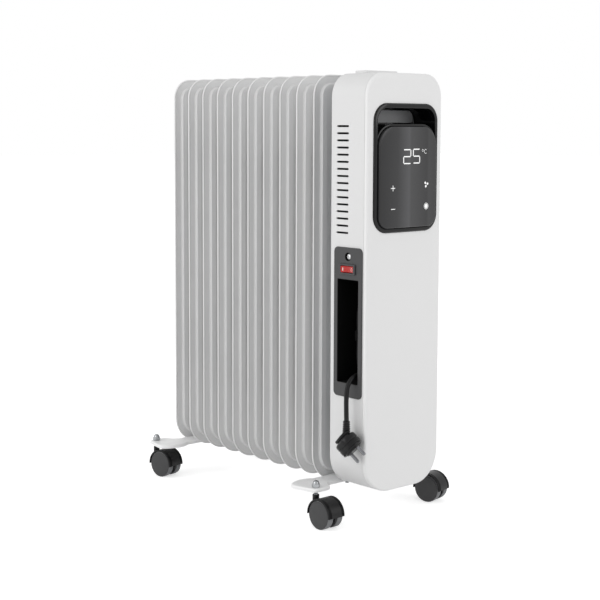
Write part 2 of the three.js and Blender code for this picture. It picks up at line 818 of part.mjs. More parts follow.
// A strut between two pads; side 1 puts the stem end of each pad towards +X.
function footShape(inset, side) {
  const strut = strutHalf - inset;
  const outer = padOuter - inset;
  const inner = padInner - inset;
  const reach = padReach - inset;
  const half = new THREE.Path();
  half.moveTo(strut, 0);
  half.lineTo(strut, padStart + inset);
  half.lineTo(outer, padStart + 10 + inset);
  half.lineTo(outer, reach - 14);
  half.quadraticCurveTo(outer, reach - 9, outer - 4, reach - 8);
  half.lineTo(0, reach - 1);
  half.quadraticCurveTo(8 - inner, reach + 1, 3 - inner, reach - 17);
  half.quadraticCurveTo(-inner - 4, padStart + 14, -strut, padStart + inset);
  half.lineTo(-strut, 0);
  const points = half.getPoints(3);
  const mirrored = points.slice(1, -1).reverse().map((p) => new THREE.Vector2(p.x, -p.y));
  return new THREE.Shape([...points, ...mirrored].map((p) => new THREE.Vector2(side * p.x, p.y)));
}

const boltLegY = neckRadius + gap + boltRadius;

function foot(side) {
  const tray = cut(prism(footShape(0, side), 'z', footTop - footHeight, footHeight),
    prism(footShape(footPlate, side), 'z', footTop - footHeight - joinDepth,
      footHeight - footPlate + joinDepth));
  const saddle = block(-saddleHalfX, saddleHalfX, -saddleHalfY, saddleHalfY,
    plateUnderside, headerLow);
  const neck = rod(neckRadius + gap, 'x', -strutHalf - joinDepth, strutHalf + joinDepth, 0,
    headerLow, neckSides);
  const bolts = [-boltLegY, boltLegY].map((y) => rod(boltRadius + gap, 'z',
    plateUnderside - joinDepth, footTop + joinDepth, 0, y, 8));
  const stems = [-stemReach, stemReach].map((y) => rod(stemRadius + gap, 'z',
    plateUnderside - joinDepth, footTop + joinDepth, side * stemShift, y, 10));
  return cut(join(tray, saddle), neck, ...bolts, ...stems);
}

// U-bolt over a header neck, its two legs down through the foot.
function uBolt() {
  const high = headerLow;
  const low = footTop - boltTail;
  const square = boltLegY * 0.5523;
  const point = (y, z) => new THREE.Vector3(0, y, z);
  const arch = new THREE.CurvePath();
  arch.add(new THREE.LineCurve3(point(-boltLegY, low), point(-boltLegY, high)));
  arch.add(new THREE.CubicBezierCurve3(point(-boltLegY, high), point(-boltLegY, high + square),
    point(-square, high + boltLegY), point(0, high + boltLegY)));
  arch.add(new THREE.CubicBezierCurve3(point(0, high + boltLegY), point(square, high + boltLegY),
    point(boltLegY, high + square), point(boltLegY, high)));
  arch.add(new THREE.LineCurve3(point(boltLegY, high), point(boltLegY, low)));
  return new THREE.ExtrudeGeometry(polygon(boltRadius, 8), {
    steps: 20, bevelEnabled: false, extrudePath: arch,
  });
}

function wingNut() {
  const top = plateUnderside - gap;
  const hub = rod(wingRadius, 'z', top - wingHeight, top, 0, 0, 10);
  const wings = block(-1.2, 1.2, -wingSpan, wingSpan, top - wingHeight - 1, top - 1);
  const hole = rod(boltRadius + gap, 'z', top - wingHeight - 2, top + joinDepth, 0, 0, 8);
  return cut(join(hub, wings), hole);
}

// ---------------------------------------------------------------- casters

const collarFloor = collarTop - collarWell;
const hoodTop = axleHeight + hoodRadius;
const stemTop = footTop + stemInNut;

function casterStem() {
  const shoulderTop = plateUnderside - gap;
  return join(rod(stemRadius, 'z', collarFloor + gap, stemTop, 0, 0, 10),
    rod(stemRadius + 2, 'z', shoulderTop - 2, shoulderTop, 0, 0, 10));
}

function capNut() {
  const base = footTop + gap;
  const dome = turned([
    [0, base + nutHexHeight - joinDepth],
    [domeRadius, base + nutHexHeight - joinDepth],
    [domeRadius, base + nutHexHeight + 1],
    [domeRadius * 0.72, base + nutHexHeight + 3.6],
    [0, base + nutHexHeight + 4.8],
  ], 12);
  const bore = rod(stemRadius + gap, 'z', base - joinDepth, stemTop + gap, 0, 0, 8);
  return cut(join(rod(nutRadius, 'z', base, base + nutHexHeight, 0, 0, 6), dome), bore);
}

// The hood rides on the stem: cover over both wheels, web and axle between them, and collar.
function casterHood() {
  const wide = wheelOuter;
  const shade = prism(polygon(hoodRadius, hoodSides, casterTrail, axleHeight), 'y', -wide,
    2 * wide);
  const hollow = prism(polygon(hoodRadius - hoodWall, hoodSides, casterTrail, axleHeight), 'y',
    -wide - joinDepth, 2 * wide + 2 * joinDepth);
  const lower = block(casterTrail - 2 * hoodRadius, casterTrail + 2 * hoodRadius,
    -wide - joinDepth, wide + joinDepth, -hoodRadius, axleHeight - 1);
  const web = cut(rod(hoodRadius - joinDepth, 'y', -webThickness / 2, webThickness / 2,
    casterTrail, axleHeight, hoodSides), block(casterTrail - 2 * hoodRadius,
    casterTrail + 2 * hoodRadius, -wide, wide, -hoodRadius, axleHeight - 7));
  const collar = rod(collarRadius, 'z', collarLow, collarTop, 0, 0, 12);
  const axle = rod(axleRadius, 'y', -wheelOuter + axleCover + gap,
    wheelOuter - axleCover - gap, casterTrail, axleHeight, 10);
  const socket = rod(stemRadius + gap, 'z', collarFloor, collarTop + joinDepth, 0, 0, 10);
  return cut(join(cut(shade, hollow, lower), web, collar, axle), socket);
}

// One wheel of the pair; side is -1 or +1 along the axle. Its inside clears the web.
function casterWheel(side) {
  const start = side < 0 ? -wheelOuter : wheelInner;
  const tyre = prism(polygon(wheelRadius, wheelSides), 'y', start, wheelWidth);
  const boreStart = side < 0 ? -wheelOuter + axleCover : wheelInner - joinDepth;
  const bore = rod(axleRadius + gap, 'y', boreStart,
    boreStart + wheelWidth - axleCover + joinDepth, 0, 0, 10);
  return cut(tyre, bore);
}

const uBoltGeometry = uBolt();
const wingGeometry = wingNut();
const stemGeometry = casterStem();
const nutGeometry = capNut();
const hoodGeometry = casterHood();
const wheelGeometries = { inner: casterWheel(1), outer: casterWheel(-1) };

function station(end, side, footX) {
  const base = new THREE.Group();
  base.position.x = footX;
  heater.add(base);
  place(`foot_${end}`, foot(side), finishes.footWhite, base);
  place(`u_bolt_${end}`, uBoltGeometry, finishes.zinc, base);
  for (const [hand, turn] of [['left', -1], ['right', 1]]) {
    const wing = place(`wing_nut_${end}_${hand}`, wingGeometry, finishes.zinc, base);
    wing.position.y = turn * boltLegY;
    const corner = new THREE.Group();
    corner.position.set(side * stemShift, turn * stemReach, 0);
    base.add(corner);
    place(`caster_stem_${end}_${hand}`, stemGeometry, finishes.zinc, corner);
    place(`cap_nut_${end}_${hand}`, nutGeometry, finishes.chrome, corner);
    const swivel = new THREE.Group();
    swivel.rotation.z = THREE.MathUtils.degToRad(restSwivels[`${end}_${hand}`]);
    corner.add(swivel);
    place(`caster_hood_${end}_${hand}`, hoodGeometry, finishes.casterBlack, swivel);
    for (const [half, geometry] of Object.entries(wheelGeometries)) {
      const wheel = place(`wheel_${half}_${end}_${hand}`, geometry, finishes.casterBlack, swivel);
      wheel.position.set(casterTrail, 0, axleHeight);
    }
  }
}

station('front', 1, frontFootX);
station('rear', -1, rearFootX);

// ---------------------------------------------------------------- mains cord

// Tapered relief that brings the cord down through the roof of the bay.
const glandTop = bayTop + bayWall + gap;
const reliefEnd = bayTop - glandLength;
place('cord_gland', turned([
  [cordRadius + gap / 2, reliefEnd],
  [sleeveRadius - glandTaper, reliefEnd],
  [sleeveRadius - gap / 2, bayTop - gap],
  [sleeveRadius - gap / 2, glandTop],
  [glandRadius, glandTop],
  [glandRadius, glandTop + glandFlange],
  [cordRadius + gap / 2, glandTop + glandFlange],
  [cordRadius + gap / 2, reliefEnd],
], 12, cordX, backRun), finishes.cordBlack);

// The hank: upright loops of cord side by side, as one ring with round ends.
const hankOuter = hankRadius + cordRadius;
const hankInner = hankRadius - cordRadius;
const hankLow = bayLow + gap;
const hankMiddle = backRun - hankRadius;
const hankWidth = hankTurns * hankPitch + 2 * cordRadius;

function hankLoop(radius, path) {
  const inset = hankOuter - radius;
  return panel(hankMiddle - radius, hankMiddle + radius, hankLow + inset, hankTop - inset,
    radius, radius, path);
}

place('cord_hank', ring(() => hankLoop(hankOuter), (path) => hankLoop(hankInner, path), 'x',
  cordX - cordRadius, hankWidth, 4), finishes.cordBlack);

// Straight down from the gland to where the first loop starts to curve away.
const hankFold = hankTop - hankOuter;
const feedEnd = hankFold + Math.sqrt(hankOuter ** 2 - hankInner ** 2) + gap;
place('cord_feed', rod(cordRadius, 'z', feedEnd, reliefEnd - gap, cordX, backRun, cordSides),
  finishes.cordBlack);

// From the foot of the hank forward, over the plate's sill and down to the plug, with X
// from the middle of the plate.
const leadRoute = [
  [14.8, -35.4, 203.9],
  [14.6, -42, 204.9],
  [14.2, -48.5, 207.5],
  [13.8, -55, 210.4],
  [13.4, -61.5, 212.4],
  [13.2, -67.5, 212.7],
  [13.1, -73.2, 211.3],
  [13.1, -78.2, 208.6],
  [13.1, -82.3, 205],
  [13.1, -85.6, 200.4],
  [13.2, -87.6, 195.2],
  [13.4, -88.6, 189.5],
  [13.7, -89.1, 183.5],
  [14, -89.5, 177],
  [14.4, -89.8, 170],
  [14.8, -90, 162],
  [15.1, -90, 152.3],
];

function cordLead() {
  const points = leadRoute.map((point) => new THREE.Vector3(...point));
  return new THREE.ExtrudeGeometry(polygon(cordRadius, cordSides), {
    steps: leadSteps, bevelEnabled: false, extrudePath: new THREE.CatmullRomCurve3(points),
  });
}

place('cord_lead', cordLead(), finishes.cordBlack).position.x = plateX;

// Plug moulded onto the cord: a ribbed relief straight down into a round body whose pins
// point forward and down.
function plugRelief(x) {
  const low = reliefTop - reliefLength;
  const pitch = reliefLength / reliefRibs;
  const profile = [[0, low - pitch], [reliefRadius, low - pitch]];
  for (let i = 0; i < reliefRibs; i += 1) {
    const start = low + i * pitch;
    profile.push([reliefRadius, start + pitch * 0.6], [reliefRadius - 1, start + pitch * 0.6]);
    profile.push([reliefRadius - 1, start + pitch], [reliefRadius, start + pitch]);
  }
  profile.splice(-1, 1, [0, reliefTop]);
  return turned(profile, 10, x, plugY);
}

function mainsPlug() {
  const half = plugThickness / 2;
  const oval = (inset) => panel(inset - plugWidth / 2, plugWidth / 2 - inset,
    inset - plugLength / 2, plugLength / 2 - inset, plugCorner - inset, plugCorner - inset);
  const pieces = [
    prism(oval(0), 'x', -half, plugThickness, 3, 2.5),
    prism(oval(gripInset), 'x', -half - plugBack, plugThickness, 3, 2),
  ];
  for (const z of [-pinHalf, pinHalf]) {
    pieces.push(rod(pinRadius, 'x', half - joinDepth, half + pinLength, 0, z, 8));
  }
  const cordEnd = plateX + plugX;
  for (const piece of pieces) {
    piece.rotateX(THREE.MathUtils.degToRad(plugRoll));
    piece.rotateY(THREE.MathUtils.degToRad(plugTurn));
    piece.rotateZ(THREE.MathUtils.degToRad(plugYaw));
    piece.translate(cordEnd + plugShift, plugY - plugReach, plugHeight);
  }
  return join(...pieces, plugRelief(cordEnd));
}

place('mains_plug', mainsPlug(), finishes.cordBlack);

export default heater;
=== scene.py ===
# %% [markdown]
# # An oil-filled radiator heater
# The heater is ten pressed-steel elements on two header pipes, with a control housing at
# one end and two foot plates on twin-wheel casters. The engineering model gives every
# size and every joint. So this script only dresses it: each piece is built as a mesh in
# the same place and rides on the body that moves it.
# %% Load the frame
from math import asin, atan2, cos, hypot, pi, radians, sin

import bpy
import bmesh
from mathutils import Matrix, Vector


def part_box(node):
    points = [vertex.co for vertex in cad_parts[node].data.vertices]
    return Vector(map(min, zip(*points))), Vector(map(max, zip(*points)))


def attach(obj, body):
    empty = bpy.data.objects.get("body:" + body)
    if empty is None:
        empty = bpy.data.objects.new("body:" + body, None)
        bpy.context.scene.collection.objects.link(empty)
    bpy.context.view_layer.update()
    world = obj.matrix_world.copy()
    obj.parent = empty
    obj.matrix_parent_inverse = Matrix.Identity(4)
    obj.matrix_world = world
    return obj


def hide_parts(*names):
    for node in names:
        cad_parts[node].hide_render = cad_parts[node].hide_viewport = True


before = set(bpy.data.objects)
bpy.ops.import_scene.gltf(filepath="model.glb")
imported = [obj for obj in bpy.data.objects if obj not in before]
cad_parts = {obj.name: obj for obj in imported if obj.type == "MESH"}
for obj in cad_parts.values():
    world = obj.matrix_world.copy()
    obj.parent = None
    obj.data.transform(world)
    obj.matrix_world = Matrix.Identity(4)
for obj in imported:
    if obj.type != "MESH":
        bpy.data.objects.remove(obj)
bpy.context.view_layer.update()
mm = 0.001


def add_object(name, data):
    thing = bpy.data.objects.new(name, data)
    bpy.context.scene.collection.objects.link(thing)
    return thing


# %% [markdown]
# ## Where the main pieces are
# On the real heater every piece is placed by its neighbour. The positions could be typed
# in, but they would soon be out of step with the model, so they are read from the boxes
# of its solids. Sheets, rounds and small radii that a box can't tell are written where
# they are used.
# %% Read the main positions
def middle_of(node):
    """The middle of an engineering solid's box."""
    return [(a + b) / 2 for a, b in zip(*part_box(node))]


shell_low, shell_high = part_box("housing_shell")
cover_low, cover_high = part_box("front_cover")
bezel_low, bezel_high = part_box("control_bezel")
display_low, display_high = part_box("display_panel")
plate_low, plate_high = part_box("side_plate")
plate_x = middle_of("side_plate")[0]
element_low, element_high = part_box("fin_05")
print("plate middle", round(plate_x, 4), "housing", round(shell_high.z - shell_low.z, 4))

# %% [markdown]
# ## The camera
# A product picture is taken from a little above the middle with a fairly long lens, so
# that upright edges stay almost upright. A camera can be aimed with a Track To
# constraint, but a matrix made from its heading and its drop is exact and easy to change.
# The lens is shifted a little, as a view camera's is.
# %% Place the camera
heading, drop, roll = radians(41.881), radians(5.431), radians(0.197)
away = Vector((-cos(heading) * cos(drop), sin(heading) * cos(drop), -sin(drop)))
level = Vector((sin(heading), cos(heading), 0))
upward = level.cross(away)
right = cos(roll) * level + sin(roll) * upward
top = cos(roll) * upward - sin(roll) * level
camera_data = bpy.data.cameras.new("camera")
camera_data.lens = 81.19
camera_data.sensor_width = 36
camera_data.shift_y = -0.075
camera = add_object("camera", camera_data)
camera.matrix_world = Matrix((
    (right.x, top.x, -away.x, 1.51225),
    (right.y, top.y, -away.y, -1.35206),
    (right.z, top.z, -away.z, 0.5525),
    (0, 0, 0, 1),
))
bpy.context.scene.camera = camera
print("camera", [round(v, 3) for v in camera.location])

# %% [markdown]
# ## Effects that several finishes share
# Paint, moulded plastic and cast parts are never quite smooth or quite even. Node trees
# can be drawn by hand in the editor; in a script a few helpers make each node, feed its
# inputs and hand on its output, so that a formula reads in the order in which it is
# worked out.
# %% Write the node helpers
def give(tree, socket, value):
    """Sets a socket to a plain value, or links it to another node's output."""
    if isinstance(value, bpy.types.NodeSocket):
        tree.links.new(value, socket)
    else:
        socket.default_value = value


def feed(tree, node, **inputs):
    for label, value in inputs.items():
        give(tree, node.inputs[label.replace("_", " ")], value)
    return node


def new_node(tree, kind, **inputs):
    return feed(tree, tree.nodes.new("ShaderNode" + kind), **inputs)


def maths(tree, operation, *values, clamp=False):
    node = new_node(tree, "Math")
    node.operation = operation
    node.use_clamp = clamp
    for socket, value in zip(node.inputs, values):
        give(tree, socket, value)
    return node.outputs[0]


def noise(tree, scale, detail=2.0):
    """Noise in the object's own metres."""
    place = new_node(tree, "TexCoord").outputs["Object"]
    return new_node(tree, "TexNoise", Detail=detail, Vector=place, Scale=scale).outputs[0]


print("node helpers: give, feed, new_node, maths, noise")

# %% [markdown]
# ## The shared groups
# Three shader groups hold the effects once: a fine surface relief, a slow variation of
# tone and gloss, and dust that settles on faces that look up. The same nodes could be
# repeated in every material, but a group is mended in one place, and each material only
# sets its own amounts.
# %% Build the shared shader groups
def new_group(name, result, kind, **inputs):
    """An empty group, its inputs, and the socket that takes its result."""
    group = bpy.data.node_groups.new(name, "ShaderNodeTree")
    for label, value in inputs.items():
        socket = group.interface.new_socket(label.replace("_", " "), in_out="INPUT",
                                            socket_type="NodeSocketFloat")
        socket.default_value = value
    group.interface.new_socket(result, in_out="OUTPUT", socket_type=kind)
    given = group.nodes.new("NodeGroupInput").outputs
    return group, given, group.nodes.new("NodeGroupOutput").inputs[result]


def relief_group():
    """Fine relief of paint or moulded plastic, as a normal."""
    group, given, out = new_group("surface relief", "Normal", "NodeSocketVector",
                                  Scale=900.0, Height=0.00002, Waviness=0.0001)
    fine = maths(group, "MULTIPLY", noise(group, given["Scale"], 3.0), given["Height"])
    slow = maths(group, "MULTIPLY", noise(group, 14.0, 1.0), given["Waviness"])
    bump = new_node(group, "Bump", Strength=1.0, Distance=1.0,
                    Height=maths(group, "ADD", fine, slow))
    group.links.new(bump.outputs[0], out)
    return group


def tone_group():
    """Slow and fine variation together, about 0, from -1 to 1 at most."""
    group, given, out = new_group("tone variation", "Value", "NodeSocketFloat",
                                  Scale=9.0, Fine_Scale=260.0, Fine_Share=0.3)
    slow = maths(group, "MULTIPLY_ADD", noise(group, given["Scale"]), 2.0, -1.0)
    fine = maths(group, "MULTIPLY_ADD", noise(group, given["Fine Scale"]), 2.0, -1.0)
    fine = maths(group, "MULTIPLY", fine, given["Fine Share"])
    group.links.new(maths(group, "ADD", slow, fine), out)
    return group


def dust_group():
    """A mask of settled dust: faces that look up, broken by noise."""
    group, given, out = new_group("settled dust", "Mask", "NodeSocketFloat", Amount=0.2)
    normal = new_node(group, "NewGeometry").outputs["Normal"]
    split = new_node(group, "SeparateXYZ", Vector=normal)
    up = maths(group, "MAXIMUM", split.outputs["Z"], 0.0)
    broken = maths(group, "MULTIPLY", maths(group, "POWER", up, 3.0), noise(group, 90.0, 4.0))
    group.links.new(maths(group, "MULTIPLY", broken, given["Amount"]), out)
    return group


groups = {"relief": relief_group(), "tone": tone_group(), "dust": dust_group()}
print("shader groups", sorted(group.name for group in groups.values()))

# %% [markdown]
# ## One recipe for every finish
# A finish is a Principled shader whose colour wanders a little round its own value, whose
# gloss varies with the same pattern, and whose surface has the relief of its making.
# Image textures would need UV maps; noise in the object's own metres needs none. What is
# even all over goes straight on the shader's sockets.
# %% Write the finish recipe
def linear(code):
    """A colour as written on a paint card, 0xRRGGBB, in the renderer's linear values."""
    parts = [(code >> shift & 255) / 255 for shift in (16, 8, 0)]
    return [p / 12.92 if p <= 0.04045 else ((p + 0.055) / 1.055) ** 2.4 for p in parts] + [1]


def group_node(tree, name, **values):
    node = tree.nodes.new("ShaderNodeGroup")
    node.node_tree = groups[name]
    return feed(tree, node, **values).outputs[0]


def mixed(tree, factor, first, second):
    """A colour between two colours, each given as a list or a socket."""
    node = tree.nodes.new("ShaderNodeMix")
    node.data_type = "RGBA"
    for index, value in ((0, factor), (6, first), (7, second)):
        give(tree, node.inputs[index], value)
    return node.outputs[2]


def new_material(name):
    material = bpy.data.materials.new(name)
    material.use_nodes = True
    return material, material.node_tree, material.node_tree.nodes["Principled BSDF"]


dust_colour = linear(0xb4b3b0)


def finish(name, code, roughness, relief, spread=0.1, dust=0.02, specular=0.5, metallic=0.0,
           gloss_spread=0.06, tone_scale=9.0):
    material, tree, shader = new_material(name)
    wander = group_node(tree, "tone", Scale=tone_scale)
    shade = maths(tree, "MULTIPLY_ADD", wander, 0.5, 0.5, clamp=True)
    base = linear(code)
    darker = [c * (1 - spread) for c in base[:3]] + [1]
    paler = [min(1, c * (1 + spread)) for c in base[:3]] + [1]
    mask = group_node(tree, "dust", Amount=dust)
    gloss = maths(tree, "MULTIPLY_ADD", wander, gloss_spread, roughness)
    dusty = maths(tree, "MULTIPLY", mask, 0.4)
    feed(tree, shader, Metallic=metallic, Specular_IOR_Level=specular,
         Base_Color=mixed(tree, mask, mixed(tree, shade, darker, paler), dust_colour),
         Roughness=maths(tree, "ADD", gloss, dusty, clamp=True),
         Normal=group_node(tree, "relief", **relief))
    return material


print("dust", [round(c, 3) for c in dust_colour])


# %% [markdown]
# ## The finishes
# Powder enamel on the elements and the feet, a satin moulding for the housing, piano
# black and smoked sheet on the controls, and a duller, grained black on whatever is
# touched or rolls. Enamel has a soft orange peel; mouldings have a finer, even grain. One
# line each is enough, since the recipe does the rest.
# %% Make the finishes
peel = {"Scale": 420.0, "Height": 0.00004, "Waviness": 0.0004}
satin = {"Scale": 1500.0, "Height": 0.000012, "Waviness": 0.0003}
grain = {"Scale": 2200.0, "Height": 0.00004, "Waviness": 0.0}
polished = {"Scale": 300.0, "Height": 0.000002, "Waviness": 0.0001}

element_enamel = finish("element enamel", 0xe9e9e9, 0.34, peel, 0.03, 0.03)
housing_enamel = finish("housing enamel", 0xe4e4e4, 0.48, satin, 0.012)
cover_white = finish("cover white", 0xf2f2f2, 0.46, satin, 0.012)
foot_white = finish("foot enamel", 0xfafafa, 0.4, peel, 0.03, 0.04)
bezel_black = finish("piano black", 0x0c0c0d, 0.08, polished, 0.1, 0.01, 0.3,
                     gloss_spread=0.02)
# painted light: a paler grey copy of the pocket's black, for its lit back wall
pocket_painted_light = finish("pocket painted light", 0xa2a3a5, 0.42, satin, 0.06)
plate_grey = finish("plate grey", 0x424243, 0.5, grain, 0.03, 0.03, 0.35)
bay_black = finish("bay black", 0x060606, 0.6, grain, 0.1, 0.01, 0.2)
frame_grey = finish("switch frame grey", 0x434345, 0.4, grain, 0.06, 0.02, 0.35)
rocker_red = finish("rocker red", 0xc01f1a, 0.16, polished, 0.08, 0.0)
# print tinted pale pink, partly a painted highlight on the paddle's ends
print_and_painted_highlight = finish("print and painted highlight", 0xf3d9d2, 0.4, satin, 0.03, 0.0)
caster_black = finish("caster black", 0x171718, 0.3, grain, 0.1, 0.02, 0.22)
wheel_grey = finish("wheel grey", 0x363637, 0.46, grain, 0.08, 0.03, 0.4)
# paler grey tread, partly a painted reflection of the floor
tread_and_reflection_grey = finish("tread and reflection grey", 0x7a7b7d, 0.6, grain, 0.08, 0.03, 0.3)
cord_black = finish("cord black", 0x0d0d0e, 0.36, grain, 0.1, 0.02, 0.22)
plug_black = finish("plug black", 0x0a0a0b, 0.22, satin, 0.1, 0.01, 0.25)
tie_black = finish("tie black", 0x0c0c0c, 0.8, grain, 0.15, 0.02, 0.2)
chrome = finish("chrome", 0x9fa1a3, 0.14, polished, 0.04, 0.0, metallic=1.0,
                gloss_spread=0.05)
nickel = finish("nickel", 0x77787b, 0.2, polished, 0.05, 0.0, metallic=1.0,
                gloss_spread=0.05)
bright_steel = finish("bright steel", 0xd6d7d8, 0.38, satin, 0.04, 0.0, metallic=0.6)
zinc_steel = finish("zinc steel", 0xb0b2b4, 0.34, satin, 0.12, metallic=1.0,
                    gloss_spread=0.12, tone_scale=60.0)
heat_shield = finish("heat shield steel", 0xa9abad, 0.38, satin, metallic=1.0,
                     gloss_spread=0.1, tone_scale=25.0)
circuit_board = finish("circuit board", 0x1f5a3a, 0.45, satin, 0.1, 0.1)
print("finishes", len(bpy.data.materials))

# %% [markdown]
# ## Outlines
# Most pieces start as a flat outline with rounded corners, as a sheet does before it is
# pressed. A Bevel modifier could round the corners afterwards, but an outline drawn with
# its arcs keeps the same number of points at every depth, and that is what lets two
# outlines be joined point by point.
# %% Draw outlines
def fan(start, end, steps):
    """Angles from start to end, in degrees, as radians."""
    return [radians(start + (end - start) * k / steps) for k in range(steps + 1)]


def quarter(steps):
    """Points of a quarter round: the share still to go inwards, and upwards."""
    return [(1 - cos(t), 1 - sin(t)) for t in fan(0, 90, steps)]


def arc(radius, angles, a=0.0, b=0.0):
    return [Vector((a + radius * cos(t), b + radius * sin(t))) for t in angles]


def circle(radius, sides, a=0.0, b=0.0):
    return arc(radius, [2 * pi * i / sides for i in range(sides)], a, b)


def rounded(left, right, low, high, low_radius, high_radius, steps, across=1):
    """Points round a panel, anticlockwise from the lower right corner."""
    corners = (
        (right - low_radius, low + low_radius, low_radius, -90),
        (right - high_radius, high - high_radius, high_radius, 0),
        (left + high_radius, high - high_radius, high_radius, 90),
        (left + low_radius, low + low_radius, low_radius, 180),
    )
    arcs = [arc(radius, fan(start, start + 90, steps), a, b) for a, b, radius, start in corners]
    points = []
    for i, corner in enumerate(arcs):
        points += corner
        follow = arcs[(i + 1) % 4][0]
        if i in (1, 3):
            points += [corner[-1].lerp(follow, k / across) for k in range(1, across)]
    return points


def centred(a, b, half_a, half_b, radius, steps):
    """A rounded panel about a point."""
    return rounded(a - half_a, a + half_a, b - half_b, b + half_b, radius, radius, steps)


least_radius = 0.8 * mm


def nested(half, low, high, low_radius, high_radius, steps, across=12):
    """Panels that follow one another inwards, as a function of the depth."""
    return lambda depth: rounded(-half + depth, half - depth, low + depth, high - depth,
                                 max(low_radius - depth, least_radius),
                                 max(high_radius - depth, least_radius), steps, across)


def inset(points, distance):
    """The outline moved inwards by distance, corners mitred."""
    moved_points = []
    for i, point in enumerate(points):
        before = (point - points[i - 1]).normalized()
        after = (points[(i + 1) % len(points)] - point).normalized()
        first, second = Vector((-before.y, before.x)), Vector((-after.y, after.x))
        moved_points.append(point + (first + second) * distance / (1 + first.dot(second)))
    return moved_points


print("a quarter round", [round(a, 3) for a, _ in quarter(4)])

# %% [markdown]
# ## From outlines to meshes
# Nearly every piece here is a stack of outlines: a pressed sheet, a moulded shell and a
# turned wheel are all rings joined by quads. Extrude, Screw and Solidify could each make
# some of them. One loft makes them all, with the wall's real thickness and a closed
# surface.
# %% Join outlines into meshes
def at(axis, points, height):
    """An outline set in space: across axis, with height along it."""
    place = "xyz".index(axis)
    return [Vector((*p[:place], height, *p[place:])) for p in points]


def stack(axis, outline, stages, base, side=1):
    """Rings of one outline; each stage is its depth and its height in millimetres."""
    shape = outline if callable(outline) else lambda depth: inset(outline, depth)
    return [at(axis, shape(depth * mm), base + side * height * mm) for depth, height in stages]


def loft(rings, loop=False):
    """Joins rings of equal length with quads; loop joins the last to the first."""
    count = len(rings[0])
    points = [point for ring in rings for point in ring]
    faces = []
    for a in range(len(rings) if loop else len(rings) - 1):
        b = (a + 1) % len(rings)
        for i in range(count):
            j = (i + 1) % count
            faces.append((a * count + i, a * count + j, b * count + j, b * count + i))
    if not loop:
        last = (len(rings) - 1) * count
        faces += [tuple(range(count)), tuple(range(last, last + count))]
    return points, faces


def prism(axis, outline, start, end):
    return loft([at(axis, outline, start), at(axis, outline, end)])


def slab(axis, outline, start, end, edge, steps=3):
    """A plate between two heights with its rims rounded."""
    rings = [at(axis, inset(outline, edge * b), start + edge * a) for a, b in quarter(steps)]
    rings += [at(axis, inset(outline, edge * a), end - edge * b) for a, b in quarter(steps)]
    return loft(rings)


def turn(axis, profile, sides, a=0.0, b=0.0, loop=False):
    """A profile of (radius, height) turned about an axis through (a, b)."""
    rings = [at(axis, circle(max(radius, 1e-6), sides, a, b), height)
             for radius, height in profile]
    return loft(rings, loop=loop)


def metres(profile, base=0.0, side=1):
    """A profile written in millimetres from a starting height."""
    return [(radius * mm, base + side * height * mm) for radius, height in profile]


def moved(shape, matrix):
    points, faces = shape
    return [matrix @ point for point in points], faces


print("faces of a slab", len(slab("z", circle(1, 8), 0, 1, 0.1)[1]))


# %% [markdown]
# ## From meshes to pieces
# A piece joins its shapes in one mesh, closes doubled points, turns the faces outwards
# and shades smooth up to its sharp edges. Openings are cut with an exact Boolean, because
# a vent through a round wall is tedious to draw. Area-weighted normals keep the large
# flat faces flat. Then the piece rides on its body, and says which engineering solids it
# stands for.
# %% Write the piece helpers
def mesh_of(name, shapes):
    points, faces = [], []
    for shape_points, shape_faces in shapes:
        start = len(points)
        points += [tuple(p) for p in shape_points]
        faces += [tuple(start + i for i in face) for face in shape_faces]
    mesh = bpy.data.meshes.new(name)
    mesh.from_pydata(points, [], faces)
    work = bmesh.new()
    work.from_mesh(mesh)
    bmesh.ops.remove_doubles(work, verts=work.verts, dist=2e-6)
    bmesh.ops.recalc_face_normals(work, faces=work.faces)
    work.to_mesh(mesh)
    work.free()
    return mesh


def carve(mesh, cutters):
    """The mesh less the cutter shapes."""
    scratch = [add_object("blank", mesh), add_object("cutter", mesh_of("cut", cutters))]
    boolean = scratch[0].modifiers.new("carve", "BOOLEAN")
    boolean.operation = "DIFFERENCE"
    boolean.solver = "EXACT"
    boolean.object = scratch[1]
    graph = bpy.context.evaluated_depsgraph_get()
    result = bpy.data.meshes.new_from_object(scratch[0].evaluated_get(graph))
    for thing in scratch:
        bpy.data.objects.remove(thing)
    return result


def piece(name, shapes, material, slot, *stands_for, body="heater", cutters=None, sharp=38):
    """A finished piece and the engineering solids it stands for; the slot argument is not used."""
    mesh = mesh_of(name, shapes)
    if cutters:
        mesh = carve(mesh, cutters)
        mesh.name = name
    mesh.shade_smooth()
    mesh.set_sharp_from_angle(angle=radians(sharp))
    mesh.materials.clear()
    mesh.materials.append(material)
    thing = add_object(name, mesh)
    weighted = thing.modifiers.new("area weighted normals", "WEIGHTED_NORMAL")
    weighted.keep_sharp = True
    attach(thing, body)
    if stands_for:
        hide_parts(*stands_for)
    return thing


def dress(node, material):
    """A better finish on an engineering solid whose shape is already right."""
    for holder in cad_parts[node].material_slots:
        holder.material = material


print("solids that can be dressed or replaced", len(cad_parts))


# %% [markdown]
# ## The mains cord
# The cord comes down through a relief in the roof of the bay, is folded in a hank of four
# upright loops, and leaves over the sill to hang with its plug. It could be a swept mesh,
# but a curve with a round bevel is the natural model of a cord: it keeps one diameter and
# can be measured.
# %% Lay the cord
gland_low, gland_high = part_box("cord_gland")
hank_low, hank_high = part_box("cord_hank")
cord_radius = 3.3 * mm
cord_x, back_run, _ = middle_of("cord_gland")
fold_radius = 26 * mm
hank_middle = back_run - fold_radius
low_fold = hank_low.z + cord_radius + fold_radius
high_fold = hank_high.z - cord_radius - fold_radius
loop_pitch = 7.45 * mm
turns = 4
fold_steps = 8


def on_fold(angle, fold, across):
    return Vector((cord_x + across, hank_middle + fold_radius * cos(angle),
                   fold - fold_radius * sin(angle)))


